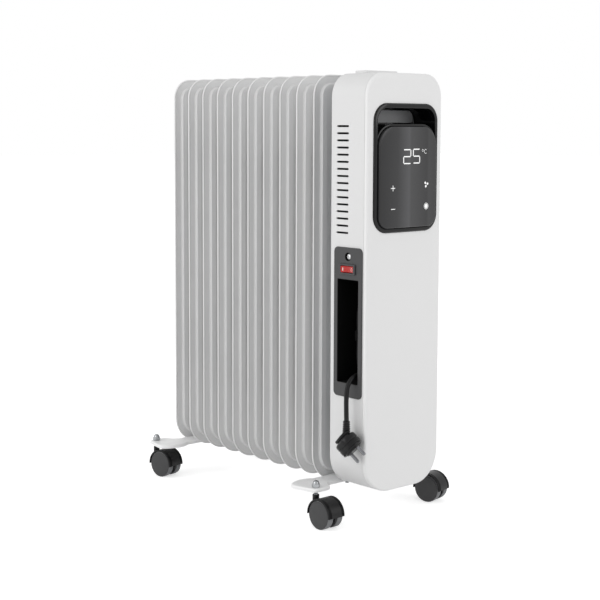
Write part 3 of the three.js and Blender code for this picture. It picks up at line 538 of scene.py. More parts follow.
route = [Vector((cord_x, back_run, gland_low.z + k * (low_fold - gland_low.z) / 4))
         for k in range(4)]
for half_turn in range(2 * turns):
    fold, other = (high_fold, low_fold) if half_turn % 2 else (low_fold, high_fold)
    for k in range(fold_steps + 1):
        angle = pi * (half_turn + k / fold_steps)
        route.append(on_fold(angle, fold, angle / (2 * pi) * loop_pitch))
    last = route[-1]
    route += [last.lerp(Vector((last.x, last.y, other)), k / 3) for k in (1, 2)]
route += [on_fold(pi * (2 * turns + k / 6), low_fold, turns * loop_pitch) for k in range(3)]
lead = [
    (14.8, -16.2, 203.9), (14.8, -35.4, 203.9), (14.6, -42, 204.9), (14.2, -48.5, 207.5),
    (13.8, -55, 210.4), (13.4, -61.5, 212.4), (13.2, -67.5, 212.7), (13.1, -73.2, 211.3),
    (13.1, -78.2, 208.6), (13.1, -82.3, 205), (13.1, -85.6, 200.4), (13.2, -87.6, 195.2),
    (13.4, -88.6, 189.5), (13.7, -89.1, 183.5), (14, -89.5, 177), (14.4, -89.8, 170),
    (14.8, -90, 162), (15.1, -90, 152.3), (15.1, -90, 146),
]
route += [Vector((plate_x + a * mm, b * mm, c * mm)) for a, b, c in lead]

cord_curve = bpy.data.curves.new("mains_cord", "CURVE")
cord_curve.dimensions = "3D"
cord_curve.bevel_depth = cord_radius
cord_curve.bevel_resolution = 5
cord_curve.resolution_u = 4
cord_curve.use_fill_caps = True
spline = cord_curve.splines.new("BEZIER")
spline.bezier_points.add(len(route) - 1)
for knot, point in zip(spline.bezier_points, route):
    knot.co = point
    knot.handle_left_type = knot.handle_right_type = "AUTO"
mains_cord = add_object("mains_cord", cord_curve)
cord_curve.materials.append(cord_black)
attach(mains_cord, "heater")
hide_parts("cord_feed", "cord_hank", "cord_lead")

# %% [markdown]
# ## The plug
# The plug is moulded onto the cord: a ribbed relief, a flat oval body that the hand
# pinches, and two round pins. It could be sculpted from a subdivided box. It is lofted
# along the line of its pins, because its grooves are then one number each, and then it is
# turned to hang as it does.
# %% Make the plug
plug_place = (Matrix.Translation((plate_x + 21.1 * mm, -92 * mm, 121.5 * mm))
              @ Matrix.Rotation(radians(22), 4, "Z") @ Matrix.Rotation(radians(42), 4, "Y")
              @ Matrix.Rotation(radians(20), 4, "X"))
plug_flatness = 6                # how much taller the body is than it is wide
body_stages = [
    (-14.2, 17, 6), (-13.9, 18, 7), (-13.3, 18.6, 7.5), (-11, 18.6, 7.5), (-10.6, 17.6, 7),
    (-10.3, 14.6, 6), (-9.4, 14.6, 6), (-9, 21, 9), (-8, 25, 11), (-6, 27.5, 12.5), (-1, 28, 13),
    (-0.3, 26.8, 12.4), (0.9, 26.8, 12.4), (1.6, 28, 13), (6.3, 28, 13), (7, 26.8, 12.4),
    (7.8, 26.8, 12.4), (8.4, 28, 13), (9.5, 27.4, 12.9), (10.3, 25.8, 12), (10.5, 22, 10),
    (9.6, 20.6, 9.6), (9.6, 19.4, 9.2), (12.2, 18.4, 8.8), (12.6, 17, 8),
]
plug_body = loft([at("x", centred(0, 0, wide * mm / 2, (wide + plug_flatness) * mm / 2,
                                  corner * mm, 8), x * mm) for x, wide, corner in body_stages])
relief_stages = [(4.4, 128), (5.2, 132)]
for k in range(6):
    base = 133 + 3.1 * k
    wide = 5.6 - 0.14 * k
    relief_stages += [(wide - 1.4, base), (wide - 1.4, base + 1), (wide - 0.15, base + 1.2),
                      (wide, base + 1.4), (wide, base + 2.7), (wide - 0.15, base + 2.9)]
relief_stages += [(4.6, 151.6), (4.2, 152.0), (3.35, 152.2), (3.35, 150)]
relief = turn("z", metres(relief_stages), 20, plate_x + 15.1 * mm, -90 * mm)
mains_plug = piece("plug_moulding", [moved(plug_body, plug_place), relief], plug_black,
                   "cord_black", "mains_plug")
pin_profile = [(0, 7), (2.4, 7), (2.4, 25.2), (2.1, 26.4), (1.4, 27.2), (0.6, 27.5), (0, 27.5)]
pins = [moved(turn("x", metres(pin_profile), 20, 0, y * mm), plug_place) for y in (-9.5, 9.5)]
plug_pins = piece("plug_pins", pins, nickel, "screw_steel")
print("plug", [round(v, 4) for v in mains_plug.dimensions])

# %% [markdown]
# ## The straps and the relief in the roof
# Two straps hold the hank's loops together, and a ribbed sleeve guards the cord where it
# enters. A strap is a flat closed band, so it is one outline pushed up and down, in and
# out. The sleeve is turned, and its ribs are a loop of the same four points.
# %% Make the straps and the relief
strap_height, strap_width = 262 * mm, 14 * mm


def strap(strands, middle_y):
    """A flat band round the strands of one run of the hank."""
    reach = cord_radius + 0.2 * mm
    around = rounded(strands[0] - reach, strands[-1] + reach, middle_y - reach,
                     middle_y + reach, 3 * mm, 3 * mm, 6)
    low = stack("z", around, [(0, 0), (-1.1, 0), (-1.3, 0.4)], strap_height - strap_width / 2)
    high = stack("z", around, [(-1.3, -0.4), (-1.1, 0), (0, 0)], strap_height + strap_width / 2)
    return loft(low + high, loop=True)


front_strands = [cord_x + (k + 0.5) * loop_pitch for k in range(turns)]
back_strands = [cord_x + k * loop_pitch for k in range(turns + 1)]
hank_ties = piece("hank_ties", [strap(front_strands, hank_middle - fold_radius),
                                strap(back_strands, back_run)], tie_black, "cord_black")

gland = metres([(3.45, 0), (4.3, 0.2)], gland_low.z)
for k in range(5):
    gland += metres([(4.3, 0), (4.3, 1.2), (4.75, 1.5), (4.75, 3.1)],
                    gland_low.z + (1 + 3.4 * k) * mm)
gland += metres([(4.9, -2.9), (7.4, -2.7), (8, -2.1), (8, -0.9), (7.4, -0.1), (3.45, 0)],
                gland_high.z)
piece("cord_relief", [turn("z", gland, 24, cord_x, back_run, loop=True)], cord_black, "cord_black",
      "cord_gland")
print("straps", [round(v, 4) for v in hank_ties.dimensions])

# %% [markdown]
# ## The radiator elements
# Each element is two pressed sheets, seam-welded round a flat flange and folded over at
# the rim. The oil runs in the raised channel. A displaced grid would blur the fold, so
# one list of nested outlines, each with its distance from the middle of the sheet, makes
# a whole side: fold, flange, ramp, crest and the flat web inside. The other side is the
# same list mirrored.
# %% Press the elements
half_width = (element_high.y - element_low.y) / 2
header_inset, web_inset, web_half = 48 * mm, 103.5 * mm, 48.3 * mm
header_low, header_high = element_low.z + header_inset, element_high.z - header_inset
element_outline = nested(half_width, element_low.z, element_high.z, 41 * mm, 30 * mm, 10, 1)
neck_reach, housing_reach, element_count = 17.85, 45.8, 10


def web_outline(grow):
    reach = web_half + grow
    return rounded(-reach, reach, element_low.z + web_inset - grow,
                   element_high.z - web_inset + grow, 20 * mm - grow, 20 * mm - grow, 10)


rim_stages = [(0, 0), (0.1, 0.6), (0.5, 1.08), (1.2, 1.3), (1.8, 1.22), (2.3, 0.9), (2.8, 0.72),
              (3.3, 0.7), (11.6, 0.7), (12, 0.9), (12.3, 1.5), (13.1, 4.7), (13.4, 5.0),
              (14, 5.15), (16, 5.45), (20, 6.1)]
web_stages = [(3.5, 6.2), (1.6, 6.1), (-0.6, 5.5), (-3, 4.4), (-6, 2.9), (-8.5, 1.7),
              (-11, 0.95), (-14, 0.7)]


def element_side(side, middle):
    return (stack("x", element_outline, rim_stages, middle, side)
            + stack("x", web_outline, web_stages, middle, side))


def neck(middle, side, height, reach):
    """The header's pipe, with the pressed collar where it leaves the element."""
    profile = [(12, 5), (27, 5), (26.4, 6.4), (25.2, 7.0), (21.5, 7.3), (19.2, 7.9),
               (17.9, 8.9), (17.2, 10.4), (17, 12), (17, reach - 0.9), (16.6, reach - 0.2),
               (16, reach), (12, reach)]
    return turn("x", metres(profile, middle, side), 36, 0, height, loop=True)


def element_boss(middle, height):
    """The closed end of a header on the last element: a shallow pressed dome."""
    profile = [(0, 5), (19, 5), (18.6, 6.9), (17.4, 7.4), (14, 7.5), (12.6, 7.1), (8, 7.0),
               (0, 7.0)]
    return turn("x", metres(profile, middle, -1), 36, 0, height)


for number in range(1, element_count + 1):
    node = f"fin_{number:02d}"
    low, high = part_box(node)
    first, last = number == 1, number == element_count
    middle = high.x - neck_reach * mm if first else middle_of(node)[0]
    if last:
        middle = low.x + neck_reach * mm
    shapes = [loft(element_side(-1, middle)[::-1] + element_side(1, middle)[1:])]
    for height in (header_low, header_high):
        shapes.append(neck(middle, 1, height, housing_reach if last else neck_reach))
        shapes.append(element_boss(middle, height) if first
                      else neck(middle, -1, height, neck_reach))
    piece(f"element_{number:02d}", shapes, element_enamel, "element_enamel", node, sharp=50)

# %% [markdown]
# ## The housing shell
# The shell is a deep rounded tube, open at the front and shut at the back by a steel
# shield. Solidify could thicken a single sheet, but a section that is a closed chain of
# rings, outside and inside, has its real thickness and its rolled edges at once. The
# vents, the cord bay's window and the screw's well are carved out of it.
# %% Mould the housing shell
housing_half = (shell_high.y - shell_low.y) / 2
corner_steps = 12
housing_outline = nested(housing_half, shell_low.z, shell_high.z, 45.5 * mm, 32 * mm,
                         corner_steps)
back = shell_low.x
shell = loft(stack("x", housing_outline, [
    (1.8, 0), (0.7, 0), (0.2, 0.2), (0, 0.7), (0, 63.9), (0.12, 64.25), (0.4, 64.4),
    (2, 64.4), (2, 0.2)], back), loop=True)

vent_x, first_vent, vent_pitch, vent_count = back + 22.5 * mm, 72.5 * mm, 9.7 * mm, 16
cutters = []
for side in (-1, 1):
    for k in range(vent_count):
        height = shell_high.z - first_vent - k * vent_pitch
        vent = centred(vent_x, height, 11.75 * mm, 1.4 * mm, 1.3 * mm, 4)
        wall = side * housing_half
        cutters.append(prism("y", vent, wall - 3 * mm, wall + 3 * mm))
bay_low, bay_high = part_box("cord_bay")
window_head, play = 366.8 * mm, 0.3 * mm
window = rounded(bay_low.x - play, bay_high.x + play, bay_low.z - play, window_head, 1 * mm,
                 1 * mm, 3)
screw_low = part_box("plate_screw")[0]
screw_z = middle_of("plate_screw")[2]
for outline in (window, circle(6.7 * mm, 24, plate_x, screw_z)):
    cutters.append(prism("y", outline, -housing_half - 3 * mm, -housing_half + 4 * mm))
piece("shell_moulding", [shell], housing_enamel, "housing_enamel", "housing_shell",
      cutters=cutters)
dress("heat_shield", heat_shield)
print("openings cut", len(cutters))

# %% [markdown]
# ## The front cover
# The cover closes the shell. Its face is slightly bowed from side to side, its rim is
# rolled, and it has one large opening for the controls. A bent plane with a hole cut in
# it would shade badly round the hole. So the rings start at the rim, run over the face to
# the opening, and come back on the inside, and the cover is one closed shell with a
# tongue that plugs into the housing.
# %% Mould the front cover
bow = 2.5 * mm
bow_half = housing_half + 1 * mm
flat_face = cover_high.x - bow
bezel_half = (bezel_high.y - bezel_low.y) / 2
bezel_outline = nested(bezel_half, bezel_low.z, bezel_high.z, 24 * mm, 24 * mm, corner_steps)


def bowed(points, proud):
    """An outline laid on the bowed front, proud of the cover's face."""
    return [Vector((flat_face + bow * (1 - (p.x / bow_half) ** 2) + proud, p.x, p.y))
            for p in points]


def rolled(outline, radius, proud, steps):
    """A rim that rolls from the side of a piece on to its bowed face."""
    return [bowed(outline(radius * a), proud - radius * b) for a, b in quarter(steps)]


def between(first, second, share):
    return [a.lerp(b, share) for a, b in zip(first, second)]


rim, sheet, across_steps = 3.2 * mm, 3 * mm, 8
hole, face_edge, inner_edge = bezel_outline(-play), housing_outline(rim), housing_outline(4.5 * mm)
rings = stack("x", housing_outline, [(0.5, 6), (0.12, 6.1), (0, 6.5)], cover_low.x)
rings += rolled(housing_outline, rim, 0, 6)
rings += [bowed(between(face_edge, hole, k / across_steps), 0)
          for k in range(1, across_steps + 1)]
rings.append(bowed(hole, -sheet))
rings += [bowed(between(inner_edge, hole, k / across_steps), -sheet)
          for k in range(across_steps - 1, -1, -1)]
rings += stack("x", housing_outline, [(3.8, 7), (3.8, 0), (2.3, 0), (2.3, 6)], cover_low.x)
piece("cover_moulding", [loft(rings, loop=True)], cover_white, "cover_white", "front_cover")
print("cover bow", bow / mm, "mm")

# %% [markdown]
# ## The control panel
# A gloss black frame stands a little proud of the cover. Above the display it opens into
# a pocket that is the carrying handle, and the display stands on a raised lip whose arch
# is the pocket's lower edge. One mesh with every edge bevelled would be hard to control,
# so frame, lip and pocket are three closed lofts in one piece.
# %% Mould the frame, the lip and the handle pocket
display_half = (display_high.y - display_low.y) / 2
frame_border = 6.5 * mm
handle_low, handle_high = 545.4 * mm, bezel_high.z - frame_border
display_outline = nested(display_half, display_low.z, display_high.z, 16 * mm, 26 * mm,
                         corner_steps)
opening_outline = nested(display_half + play, display_low.z - play, handle_high, 16.3 * mm,
                         17.5 * mm, corner_steps)
pocket_outline = nested(bezel_half - frame_border, handle_low, handle_high, 3 * mm, 17.5 * mm,
                        corner_steps)

bezel_rear, frame_proud = flat_face - 4 * mm, 2.5 * mm
rings = [at("x", bezel_outline(0), bezel_rear)] + rolled(bezel_outline, 2.2 * mm, frame_proud, 5)
rings += [bowed(opening_outline(-1.2 * mm * b), frame_proud - 1.2 * mm * a)
          for a, b in quarter(4)]
panel_frame = loft(rings + [at("x", opening_outline(0), bezel_rear)], loop=True)

lip_stages = [(-3.8, 0.9), (-3.5, 1.5), (-2.8, 1.9), (-1.2, 1.9), (-0.5, 1.6), (-0.3, 1.1)]
lip = [bowed(display_outline(depth * mm), proud * mm) for depth, proud in lip_stages]
panel_lip = loft([at("x", display_outline(-3.8 * mm), bezel_rear), *lip,
                  at("x", display_outline(-0.3 * mm), flat_face - 0.6 * mm)])

pocket_back, pocket_mouth, pocket_round = bezel_low.x, bezel_rear + 1 * mm, 2 * mm
inside = [at("x", pocket_outline(0), pocket_mouth)]
inside += [at("x", pocket_outline(pocket_round * a), pocket_back + pocket_round * (1 + b))
           for a, b in quarter(5)]
outside = [at("x", pocket_outline(-1.9 * mm), pocket_mouth)]
outside += stack("x", pocket_outline, [(-1.9, 1), (-0.9, 0)], pocket_back)
piece("control_frame", [panel_frame, panel_lip, loft(inside[::-1] + outside)], bezel_black,
      "bezel_black", "control_bezel")
# A pale grey sheet on the handle pocket's back wall is painted light: it stands for the lit back
# of the black pocket.
painted_back_half, painted_back_low = bezel_half - 9.5 * mm, 558 * mm
painted_back_outline = rounded(-painted_back_half, painted_back_half, painted_back_low, handle_high - 2.4 * mm, 2 * mm,
                        9 * mm, corner_steps)
painted_back = stack("x", painted_back_outline, [(0, -0.3), (0, 0.5), (0.4, 0.8)], pocket_back + 2.05 * mm)
piece("handle_painted_back", [loft(painted_back)], pocket_painted_light, "bezel_black")
print("handle opening", round((handle_high - handle_low) / mm, 1), "mm high")

# %% [markdown]
# ## The display
# The display is a smoked sheet that follows the bow of the front and stands proud of the
# lip, with a rolled edge. Its colour carries a painted reflection: a slow fade from a darker
# left side to a paler middle, as the gloss would mirror the studio. That could be an image,
# but a colour ramp along the object's own width makes it.
# %% Make the smoked sheet
display_grey = finish("smoked display with painted reflection", 0x3a3a3b, 0.12, polished, 0.03, 0.01, 0.3)
tree = display_grey.node_tree
place = new_node(tree, "TexCoord").outputs["Object"]
across = new_node(tree, "SeparateXYZ", Vector=place).outputs["Y"]
span = new_node(tree, "MapRange", Value=across, From_Min=-display_half, From_Max=display_half)
painted_reflection = new_node(tree, "ValToRGB", Fac=span.outputs["Result"])
# painted reflection: darker at the left, pale bands in the middle, fainter ones to the right
reflection_stops = [(0.0, 0x2a2a2b), (0.3, 0x3d3d3e), (0.5, 0x5a5a5c), (0.54, 0x4f4f50), (0.82, 0x3a3a3b),
         (0.86, 0x444445), (1.0, 0x3a3a3b)]
ramp = painted_reflection.color_ramp.elements
while len(ramp) < len(reflection_stops):
    ramp.new(0.5)
for element, (position, code) in zip(ramp, reflection_stops):
    element.position = position
    element.color = linear(code)
feed(tree, tree.nodes["Principled BSDF"], Base_Color=painted_reflection.outputs["Color"])
rise = 5.5 * mm
rings = [at("x", display_outline(0), display_low.x)] + rolled(display_outline, 1.4 * mm, rise, 5)
rings += [bowed(display_outline(depth * mm), rise)
          for depth in (5, 10, 15, 20, 26, 32, 38, 44, 50)]
piece("smoked_display", [loft(rings)], display_grey, "display_grey", "display_panel")
print("display rings", len(rings))

# %% [markdown]
# ## Figures and keys on the display
# Behind the sheet are lit bars, seven to a figure, and small printed signs. A font would
# give the wrong shapes. Each bar is a thin tile with pointed ends, laid on the bowed
# face, and a ring is a row of such tiles. A lit tile gives its own light, so that it
# stays white whatever the lamps do; the printed signs get the same glow, which on them is painted
# light.
# %% Draw bars and rings
lit_white = finish("lit figures", 0xf4f4f2, 0.4, satin, 0.01, 0.0)
feed(lit_white.node_tree, lit_white.node_tree.nodes["Principled BSDF"],
     Emission_Color=linear(0xeeeff1), Emission_Strength=0.34)


def tile(corners):
    """A thin tile on the display's face, from points in millimetres across and up."""
    outline = [Vector((a * mm, b * mm)) for a, b in corners]
    return loft([bowed(outline, rise - 0.05 * mm), bowed(outline, rise + 0.06 * mm),
                 bowed(inset(outline, 0.04 * mm), rise + 0.1 * mm)])


def bar(a, b, length, upright, thick=1.6, space=0.25):
    """A seven-segment bar with pointed ends, from its lower or left corner."""
    half, end = thick / 2, length - space
    shape = [(space, 0), (space + half, -half), (end - half, -half), (end, 0),
             (end - half, half), (space + half, half)]
    if upright:
        shape = [(-across, along) for along, across in shape]
    return tile([(a + p, b + q) for p, q in shape])


def figure(segments, left, low, width):
    """A seven-segment figure, its bars named by their usual letters, a to g."""
    half = 18.9 / 2
    middle, right = low + half, left + width
    flat = {"a": low + 2 * half, "g": middle, "d": low}
    upright = {"f": (left, middle), "b": (right, middle), "e": (left, low), "c": (right, low)}
    return [bar(*upright[letter], half, True) if letter in upright
            else bar(left, flat[letter], width, False) for letter in segments]


def ring_corners(a, b, radius, thick, pieces=16, start=0, sweep=360):
    """The four corners of each short piece of a ring."""
    inner = radius - thick
    corners = []
    for k in range(pieces):
        first, last = (radians(start + sweep * (k + e) / pieces) for e in (0, 1))
        corners.append([(a + r * cos(t), b + r * sin(t)) for r, t in
                        ((inner, first), (radius, first), (radius, last), (inner, last))])
    return corners


def rectangle(left, low, width, height):
    return [(left, low), (left + width, low), (left + width, low + height), (left, low + height)]


print("points of one bar", len(bar(0, 500, 9, True)[0]))

# %% [markdown]
# ## The figures and the keys
# The display shows a temperature, two figures with a degree sign and a C. Below it are
# the signs of the keys: a plus, a minus, a fan and a round one. The bars go by the
# letters that every seven-segment figure uses, so a figure is written as a short word.
# All the tiles of one kind are joined in one piece.
# %% Lay the figures and the signs
figures = figure("abged", -11.2, 502.3, 14) + figure("afgcd", 7.8, 502.8, 13)
degree_sign = ring_corners(27, 520, 1.7, 0.45) + ring_corners(33, 518.6, 3.1, 0.6, 12, 50, 260)
figures += [tile(corners) for corners in degree_sign]
piece("display_figures", figures, lit_white, "display_grey")
plus_and_minus = [(-34.8, 468.5, 7.6, 1), (-31.5, 465.2, 1, 7.6), (-34.2, 440, 7.4, 1)]
signs = [tile(rectangle(*sizes)) for sizes in plus_and_minus]
blade = [(0.8, -0.5), (2.2, -2.0), (4.3, -1.6), (4.6, 0.4), (3.2, 1.4), (1.2, 0.9)]
for angle in (radians(120 * k + 20) for k in range(3)):
    signs.append(tile([(35 + a * cos(angle) - b * sin(angle),
                        473 + a * sin(angle) + b * cos(angle)) for a, b in blade]))
signs.append(tile([(35.3 + 3 * cos(t), 442.7 + 3 * sin(t)) for t in fan(0, 345, 23)]))
signs += [tile(corners) for corners in ring_corners(35.3, 442.7, 4.5, 0.7, 24)]
# the printed signs glow like the lit bars: painted light on print
piece("display_signs", signs, lit_white, "display_grey")
print("figure bars", len(figures), "signs", len(signs))

# %% [markdown]
# ## The side plate, the bay and the switch
# A grey plate frames the cord bay. It is a flat moulding with rolled edges, so it is a
# ring from its outline to the bay's opening, and its rims are real rounds that catch the
# light. The switch's hole and the screw's well are carved out, as they are small and
# square to the face.
# %% Make the side plate
plate_outline = rounded(plate_low.x, plate_high.x, plate_low.z, plate_high.z, 7 * mm, 7 * mm, 8)
bay_half, bay_sill, bay_rise = 20.5 * mm, plate_low.z + 19.4 * mm, 144 * mm
bay_mouth = rounded(plate_x - bay_half, plate_x + bay_half, bay_sill, bay_sill + bay_rise,
                    1.5 * mm, 1.5 * mm, 8)
plate_face, plate_sheet = plate_low.y, 1.5
plate_rear = plate_face + plate_sheet * mm
plate_rings = stack("y", plate_outline, [(0, plate_sheet), (0, 0.6), (0.15, 0.2), (0.6, 0)],
                    plate_face)
plate_rings += stack("y", bay_mouth, [(-0.6, 0), (-0.15, 0.15), (0, 0.6), (0, plate_sheet)],
                     plate_face)
switch_z = middle_of("switch_body")[2]
switch_hole = centred(plate_x, switch_z, 14.3 * mm, 6.6 * mm, 0.8 * mm, 4)
well_hole = circle(5.9 * mm, 28, plate_x, screw_z)
piece("bay_plate", [loft(plate_rings, loop=True)], plate_grey, "plate_grey", "side_plate",
      cutters=[prism("y", outline, plate_face - 2 * mm, plate_rear + 2 * mm)
               for outline in (switch_hole, well_hole)])


print("bay opening", round(2 * bay_half / mm, 1), "by", round(bay_rise / mm, 1), "mm")

# %% [markdown]
# ## The trim, the well and the screw
# A black trim lines the bay's mouth, and one cross-headed screw in a round well holds the
# plate. Well and screw are turned, which is how they are made; the cross in the head is
# one outline carved out of it, because a turned shape can't have one.
# %% Make the trim, the well and the screw
trim = stack("y", bay_mouth, [(-0.02, 0.55), (0.3, 0.6), (0.3, 1.55), (-0.02, 1.55)], plate_face)
piece("bay_trim", [loft(trim, loop=True)], bay_black, "plate_grey")
# The well belongs to the grey plate but gets the bay's black: painted shade inside the hole.
well = [(5.85, 0.02), (5.5, 0), (5.2, 0.4), (5.1, 4.6), (4.6, 5.2), (2.1, 5.2), (2.1, 6.4),
        (6.3, 6.4), (6.3, 1.6), (5.85, 1.5)]
piece("screw_well", [turn("y", metres(well, plate_face), 32, plate_x, screw_z, loop=True)],
      bay_black, "plate_grey")
head_back = screw_low.y + 0.7 * mm
head = [(0, 6), (1.7, 6), (1.7, 0), (4, 0), (4, -0.9), (3.7, -1.4), (2.9, -1.9), (1.6, -2.15),
        (0, -2.2)]
arm, half_arm = 2.1, 0.45
quarter_cross = [(arm, -half_arm), (arm, half_arm), (half_arm, half_arm)]
cross = [Vector((plate_x + (a * cos(t) - b * sin(t)) * mm,
                 screw_z + (a * sin(t) + b * cos(t)) * mm))
         for t in (0, pi / 2, pi, 3 * pi / 2) for a, b in quarter_cross]
piece("bay_plate_screw", [turn("y", metres(head, head_back), 28, plate_x, screw_z)], bright_steel,
      "screw_steel", "plate_screw",
      cutters=[prism("y", cross, head_back - 3 * mm, head_back - 0.9 * mm)])
dress("cord_bay", bay_black)

# %% [markdown]
# ## The switch's frame
# The rocker switch snaps into the plate with a thin frame round its slot. Frame, slot and
# the wall behind it are one closed chain of rings, from the rim over the face and down
# into the hole. A slab behind it closes the view into the housing.
# %% Make the switch frame
frame_outline = centred(plate_x, switch_z, 15.5 * mm, 7.3 * mm, 1.2 * mm, 4)
rocker_slot = centred(plate_x, switch_z, 12.2 * mm, 4.9 * mm, 0.5 * mm, 4)
frame_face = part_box("switch_body")[0].y
frame_rings = stack("y", frame_outline, [(0, -0.05)], plate_face)
frame_rings += stack("y", frame_outline, [(0, 0.8), (0.25, 0.25), (0.8, 0)], frame_face)
frame_rings += stack("y", rocker_slot, [(-0.5, 0), (0, 0.5)], frame_face)
frame_rings += stack("y", rocker_slot, [(0, 8.5)], plate_face)
frame_rings += stack("y", switch_hole, [(0.3, 8.5), (0.3, -0.05)], plate_face)
floor_slab = slab("y", inset(switch_hole, 0.35 * mm), plate_face + 7.5 * mm,
                  plate_face + 12 * mm, 0.3 * mm)
piece("switch_frame", [loft(frame_rings, loop=True), floor_slab], frame_grey, "bay_black",
      "switch_body")


# %% [markdown]
# ## The rocker
# The rocker is a slightly hollow paddle that turns on two small pins. It rides on its own
# body, so it is built about its pivot at its resting tilt. Its sections are pushed from
# end to end, because the hollow runs that way, and its two ends carry the usual bar and
# ring as raised print. The print's pale pink also stands for the highlights on the
# paddle's ends, as a painted highlight.
# %% Make the rocker
pivot_y, rest_tilt = -72.9 * mm, radians(7.5)
rocker_place = (Matrix.Translation((plate_x, pivot_y, switch_z))
                @ Matrix.Rotation(rest_tilt, 4, "Z"))
paddle_half, paddle_height = 10.6, 4.4


def paddle_face(a):
    """How far the paddle's face stands in front of the pivot, in millimetres."""
    return 2.2 + 2.6 * (a / paddle_half) ** 2


paddle = []
for k in range(17):
    a = -paddle_half + 2 * paddle_half * k / 16
    rear = 2.6 - 3.2 * max(0, abs(a) - 4) / 6.6
    shoulder, crown = paddle_face(a) - 0.6, paddle_face(a) - 0.1
    section = [(-rear, -paddle_height), (-rear, paddle_height), (shoulder, paddle_height),
               (crown, 3.9), (crown, -3.9), (shoulder, -paddle_height)]
    paddle.append([Vector((a * mm, -y * mm, z * mm)) for y, z in section])
pivot_pin = moved(turn("z", [(0, -6), (1.4, -6), (1.5, -5.9), (1.5, 5.9), (1.4, 6), (0, 6)], 16),
                  Matrix.Scale(mm, 4))
piece("rocker_paddle", [moved(loft(paddle), rocker_place), moved(pivot_pin, rocker_place)],
      rocker_red, "rocker_red", "rocker", body="rocker", sharp=30)


def rocker_print(corners):
    return moved(loft([[Vector((a * mm, -(paddle_face(a) + proud) * mm, b * mm))
                        for a, b in corners] for proud in (-0.3, 0.05)]), rocker_place)


# the marks are print; their pink tint and their place also paint the paddle's highlights
marks = [rocker_print(corners) for corners in
         [rectangle(-8.4, -2.1, 1.3, 4.2), *ring_corners(7.2, 0, 2.0, 0.5)]]
piece("rocker_marks", marks, print_and_painted_highlight, "rocker_red", body="rocker")
print("rocker marks", len(marks))

# %% [markdown]
# ## The cap on top
# A low cap sits on the top of the housing. It is a plain moulding with a rolled edge, so
# a slab with rounded rims is all it needs.
# %% Make the top cap
cap_low, cap_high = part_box("top_cap")
cap_outline = rounded(cap_low.x, cap_high.x, cap_low.y, cap_high.y, 3 * mm, 3 * mm, 6)
piece("cap_moulding", [slab("z", cap_outline, cap_low.z, cap_high.z, 1.2 * mm, 4)], housing_enamel,
      "housing_enamel", "top_cap")
print("cap height", round((cap_high.z - cap_low.z) / mm, 1), "mm")

# %% [markdown]
# ## The feet
# Each foot is pressed from one sheet: a strut across the heater that widens into a pad at
# each end. The outline could be traced with a Bezier curve, but straight runs and
# quadratic curves through named points are enough, and the two ends are mirrored so that
# they match.
# %% Draw the feet
def arc_through(start, control, end):
    """A quadratic curve, without its first point."""
    a, b, c = Vector(start), Vector(control), Vector(end)
    return [a.lerp(b, t).lerp(b.lerp(c, t), t) for t in (0.2, 0.4, 0.6, 0.8, 1)]


foot_path = [(15.5, 66), (15.5, 74, 23, 78.05), (26.5, 79.95), (34, 84, 34, 92), (34, 108),
             (34, 113, 30, 114), (0, 121), (-14.5, 123, -19.5, 105), (-26.5, 88, -15.5, 74),
             (-15.5, 0)]


def foot_outline(side, middle):
    half = [Vector((15.5, 0))]
    for stop in foot_path:
        half += arc_through(half[-1], stop[:2], stop[2:]) if stop[2:] else [Vector(stop)]
    mirrored = [Vector((p.x, -p.y)) for p in half[-2:0:-1]]
    points = [Vector((middle + side * p.x * mm, p.y * mm)) for p in half + mirrored]
    return points if side > 0 else points[::-1]


print("foot outline", len(foot_outline(1, 0)), "points")

# %% [markdown]
# ## Pressing the feet
# The rim of the sheet is turned down all round, which is what makes a thin plate stiff. A
# Solidify modifier couldn't make the turned rim, so the rings go down inside it and come
# back up outside it and over the top. A saddle on the strut carries the lower header: a
# block whose top follows the pipe.
# %% Press the feet
foot_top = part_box("cap_nut_front_left")[0].z - play
foot_stages = [(2.4, -2), (2.0, -2.4), (1.8, -3), (1.8, -5), (0.25, -5), (0, -4.7), (0, -2.2),
               (0.25, -1.2), (0.9, -0.4), (1.9, -0.05), (2.6, 0)]


def saddle(middle):
    """The block that carries the header neck: its top follows the pipe."""
    base = (foot_top - header_low) / mm
    edge = [(12, base - 1), (12, -13.5), (11.3, -13.1)]
    section = edge + [tuple(p) for p in arc(17.3, fan(-50, -130, 8))]
    section += [(-a, b) for a, b in edge[::-1]]
    outline = [Vector((a * mm, header_low + b * mm)) for a, b in section]
    return prism("x", outline, middle - 10 * mm, middle + 10 * mm)


strut_middle = {}
for end, side in (("front", 1), ("rear", -1)):
    strut_middle[end] = middle_of(f"u_bolt_{end}")[0]
    plate = loft(stack("z", foot_outline(side, strut_middle[end]), foot_stages, foot_top))
    piece(f"pressed_foot_{end}", [plate, saddle(strut_middle[end])], foot_white, "foot_white",
          f"foot_{end}", sharp=40)
print("struts at", {end: round(x, 4) for end, x in strut_middle.items()})

# %% [markdown]
# ## The clamps
# A U-bolt with two wing nuts clamps the header into its saddle. The bolt is a round wire
# bent over the pipe, with rolled threads on its legs. A bevelled curve couldn't have the
# threads, so rings round the wire, one after another, make legs, threads and bend in one
# loft. A wing nut is a turned hub with two flat wings.
# %% Bend the U-bolts and turn the wing nuts
bolt_leg, bolt_radius = 20.3 * mm, 3 * mm


def wire_ring(middle, angle, height, wide):
    """A ring round the wire, at an angle of the bend or at a height on a leg."""
    out = Vector((0, -cos(angle), sin(angle)))
    centre = Vector((middle, 0, height)) + bolt_leg * out
    return [centre + wide * (cos(t) * Vector((1, 0, 0)) + sin(t) * out)
            for t in [2 * pi * k / 16 for k in range(16)]]


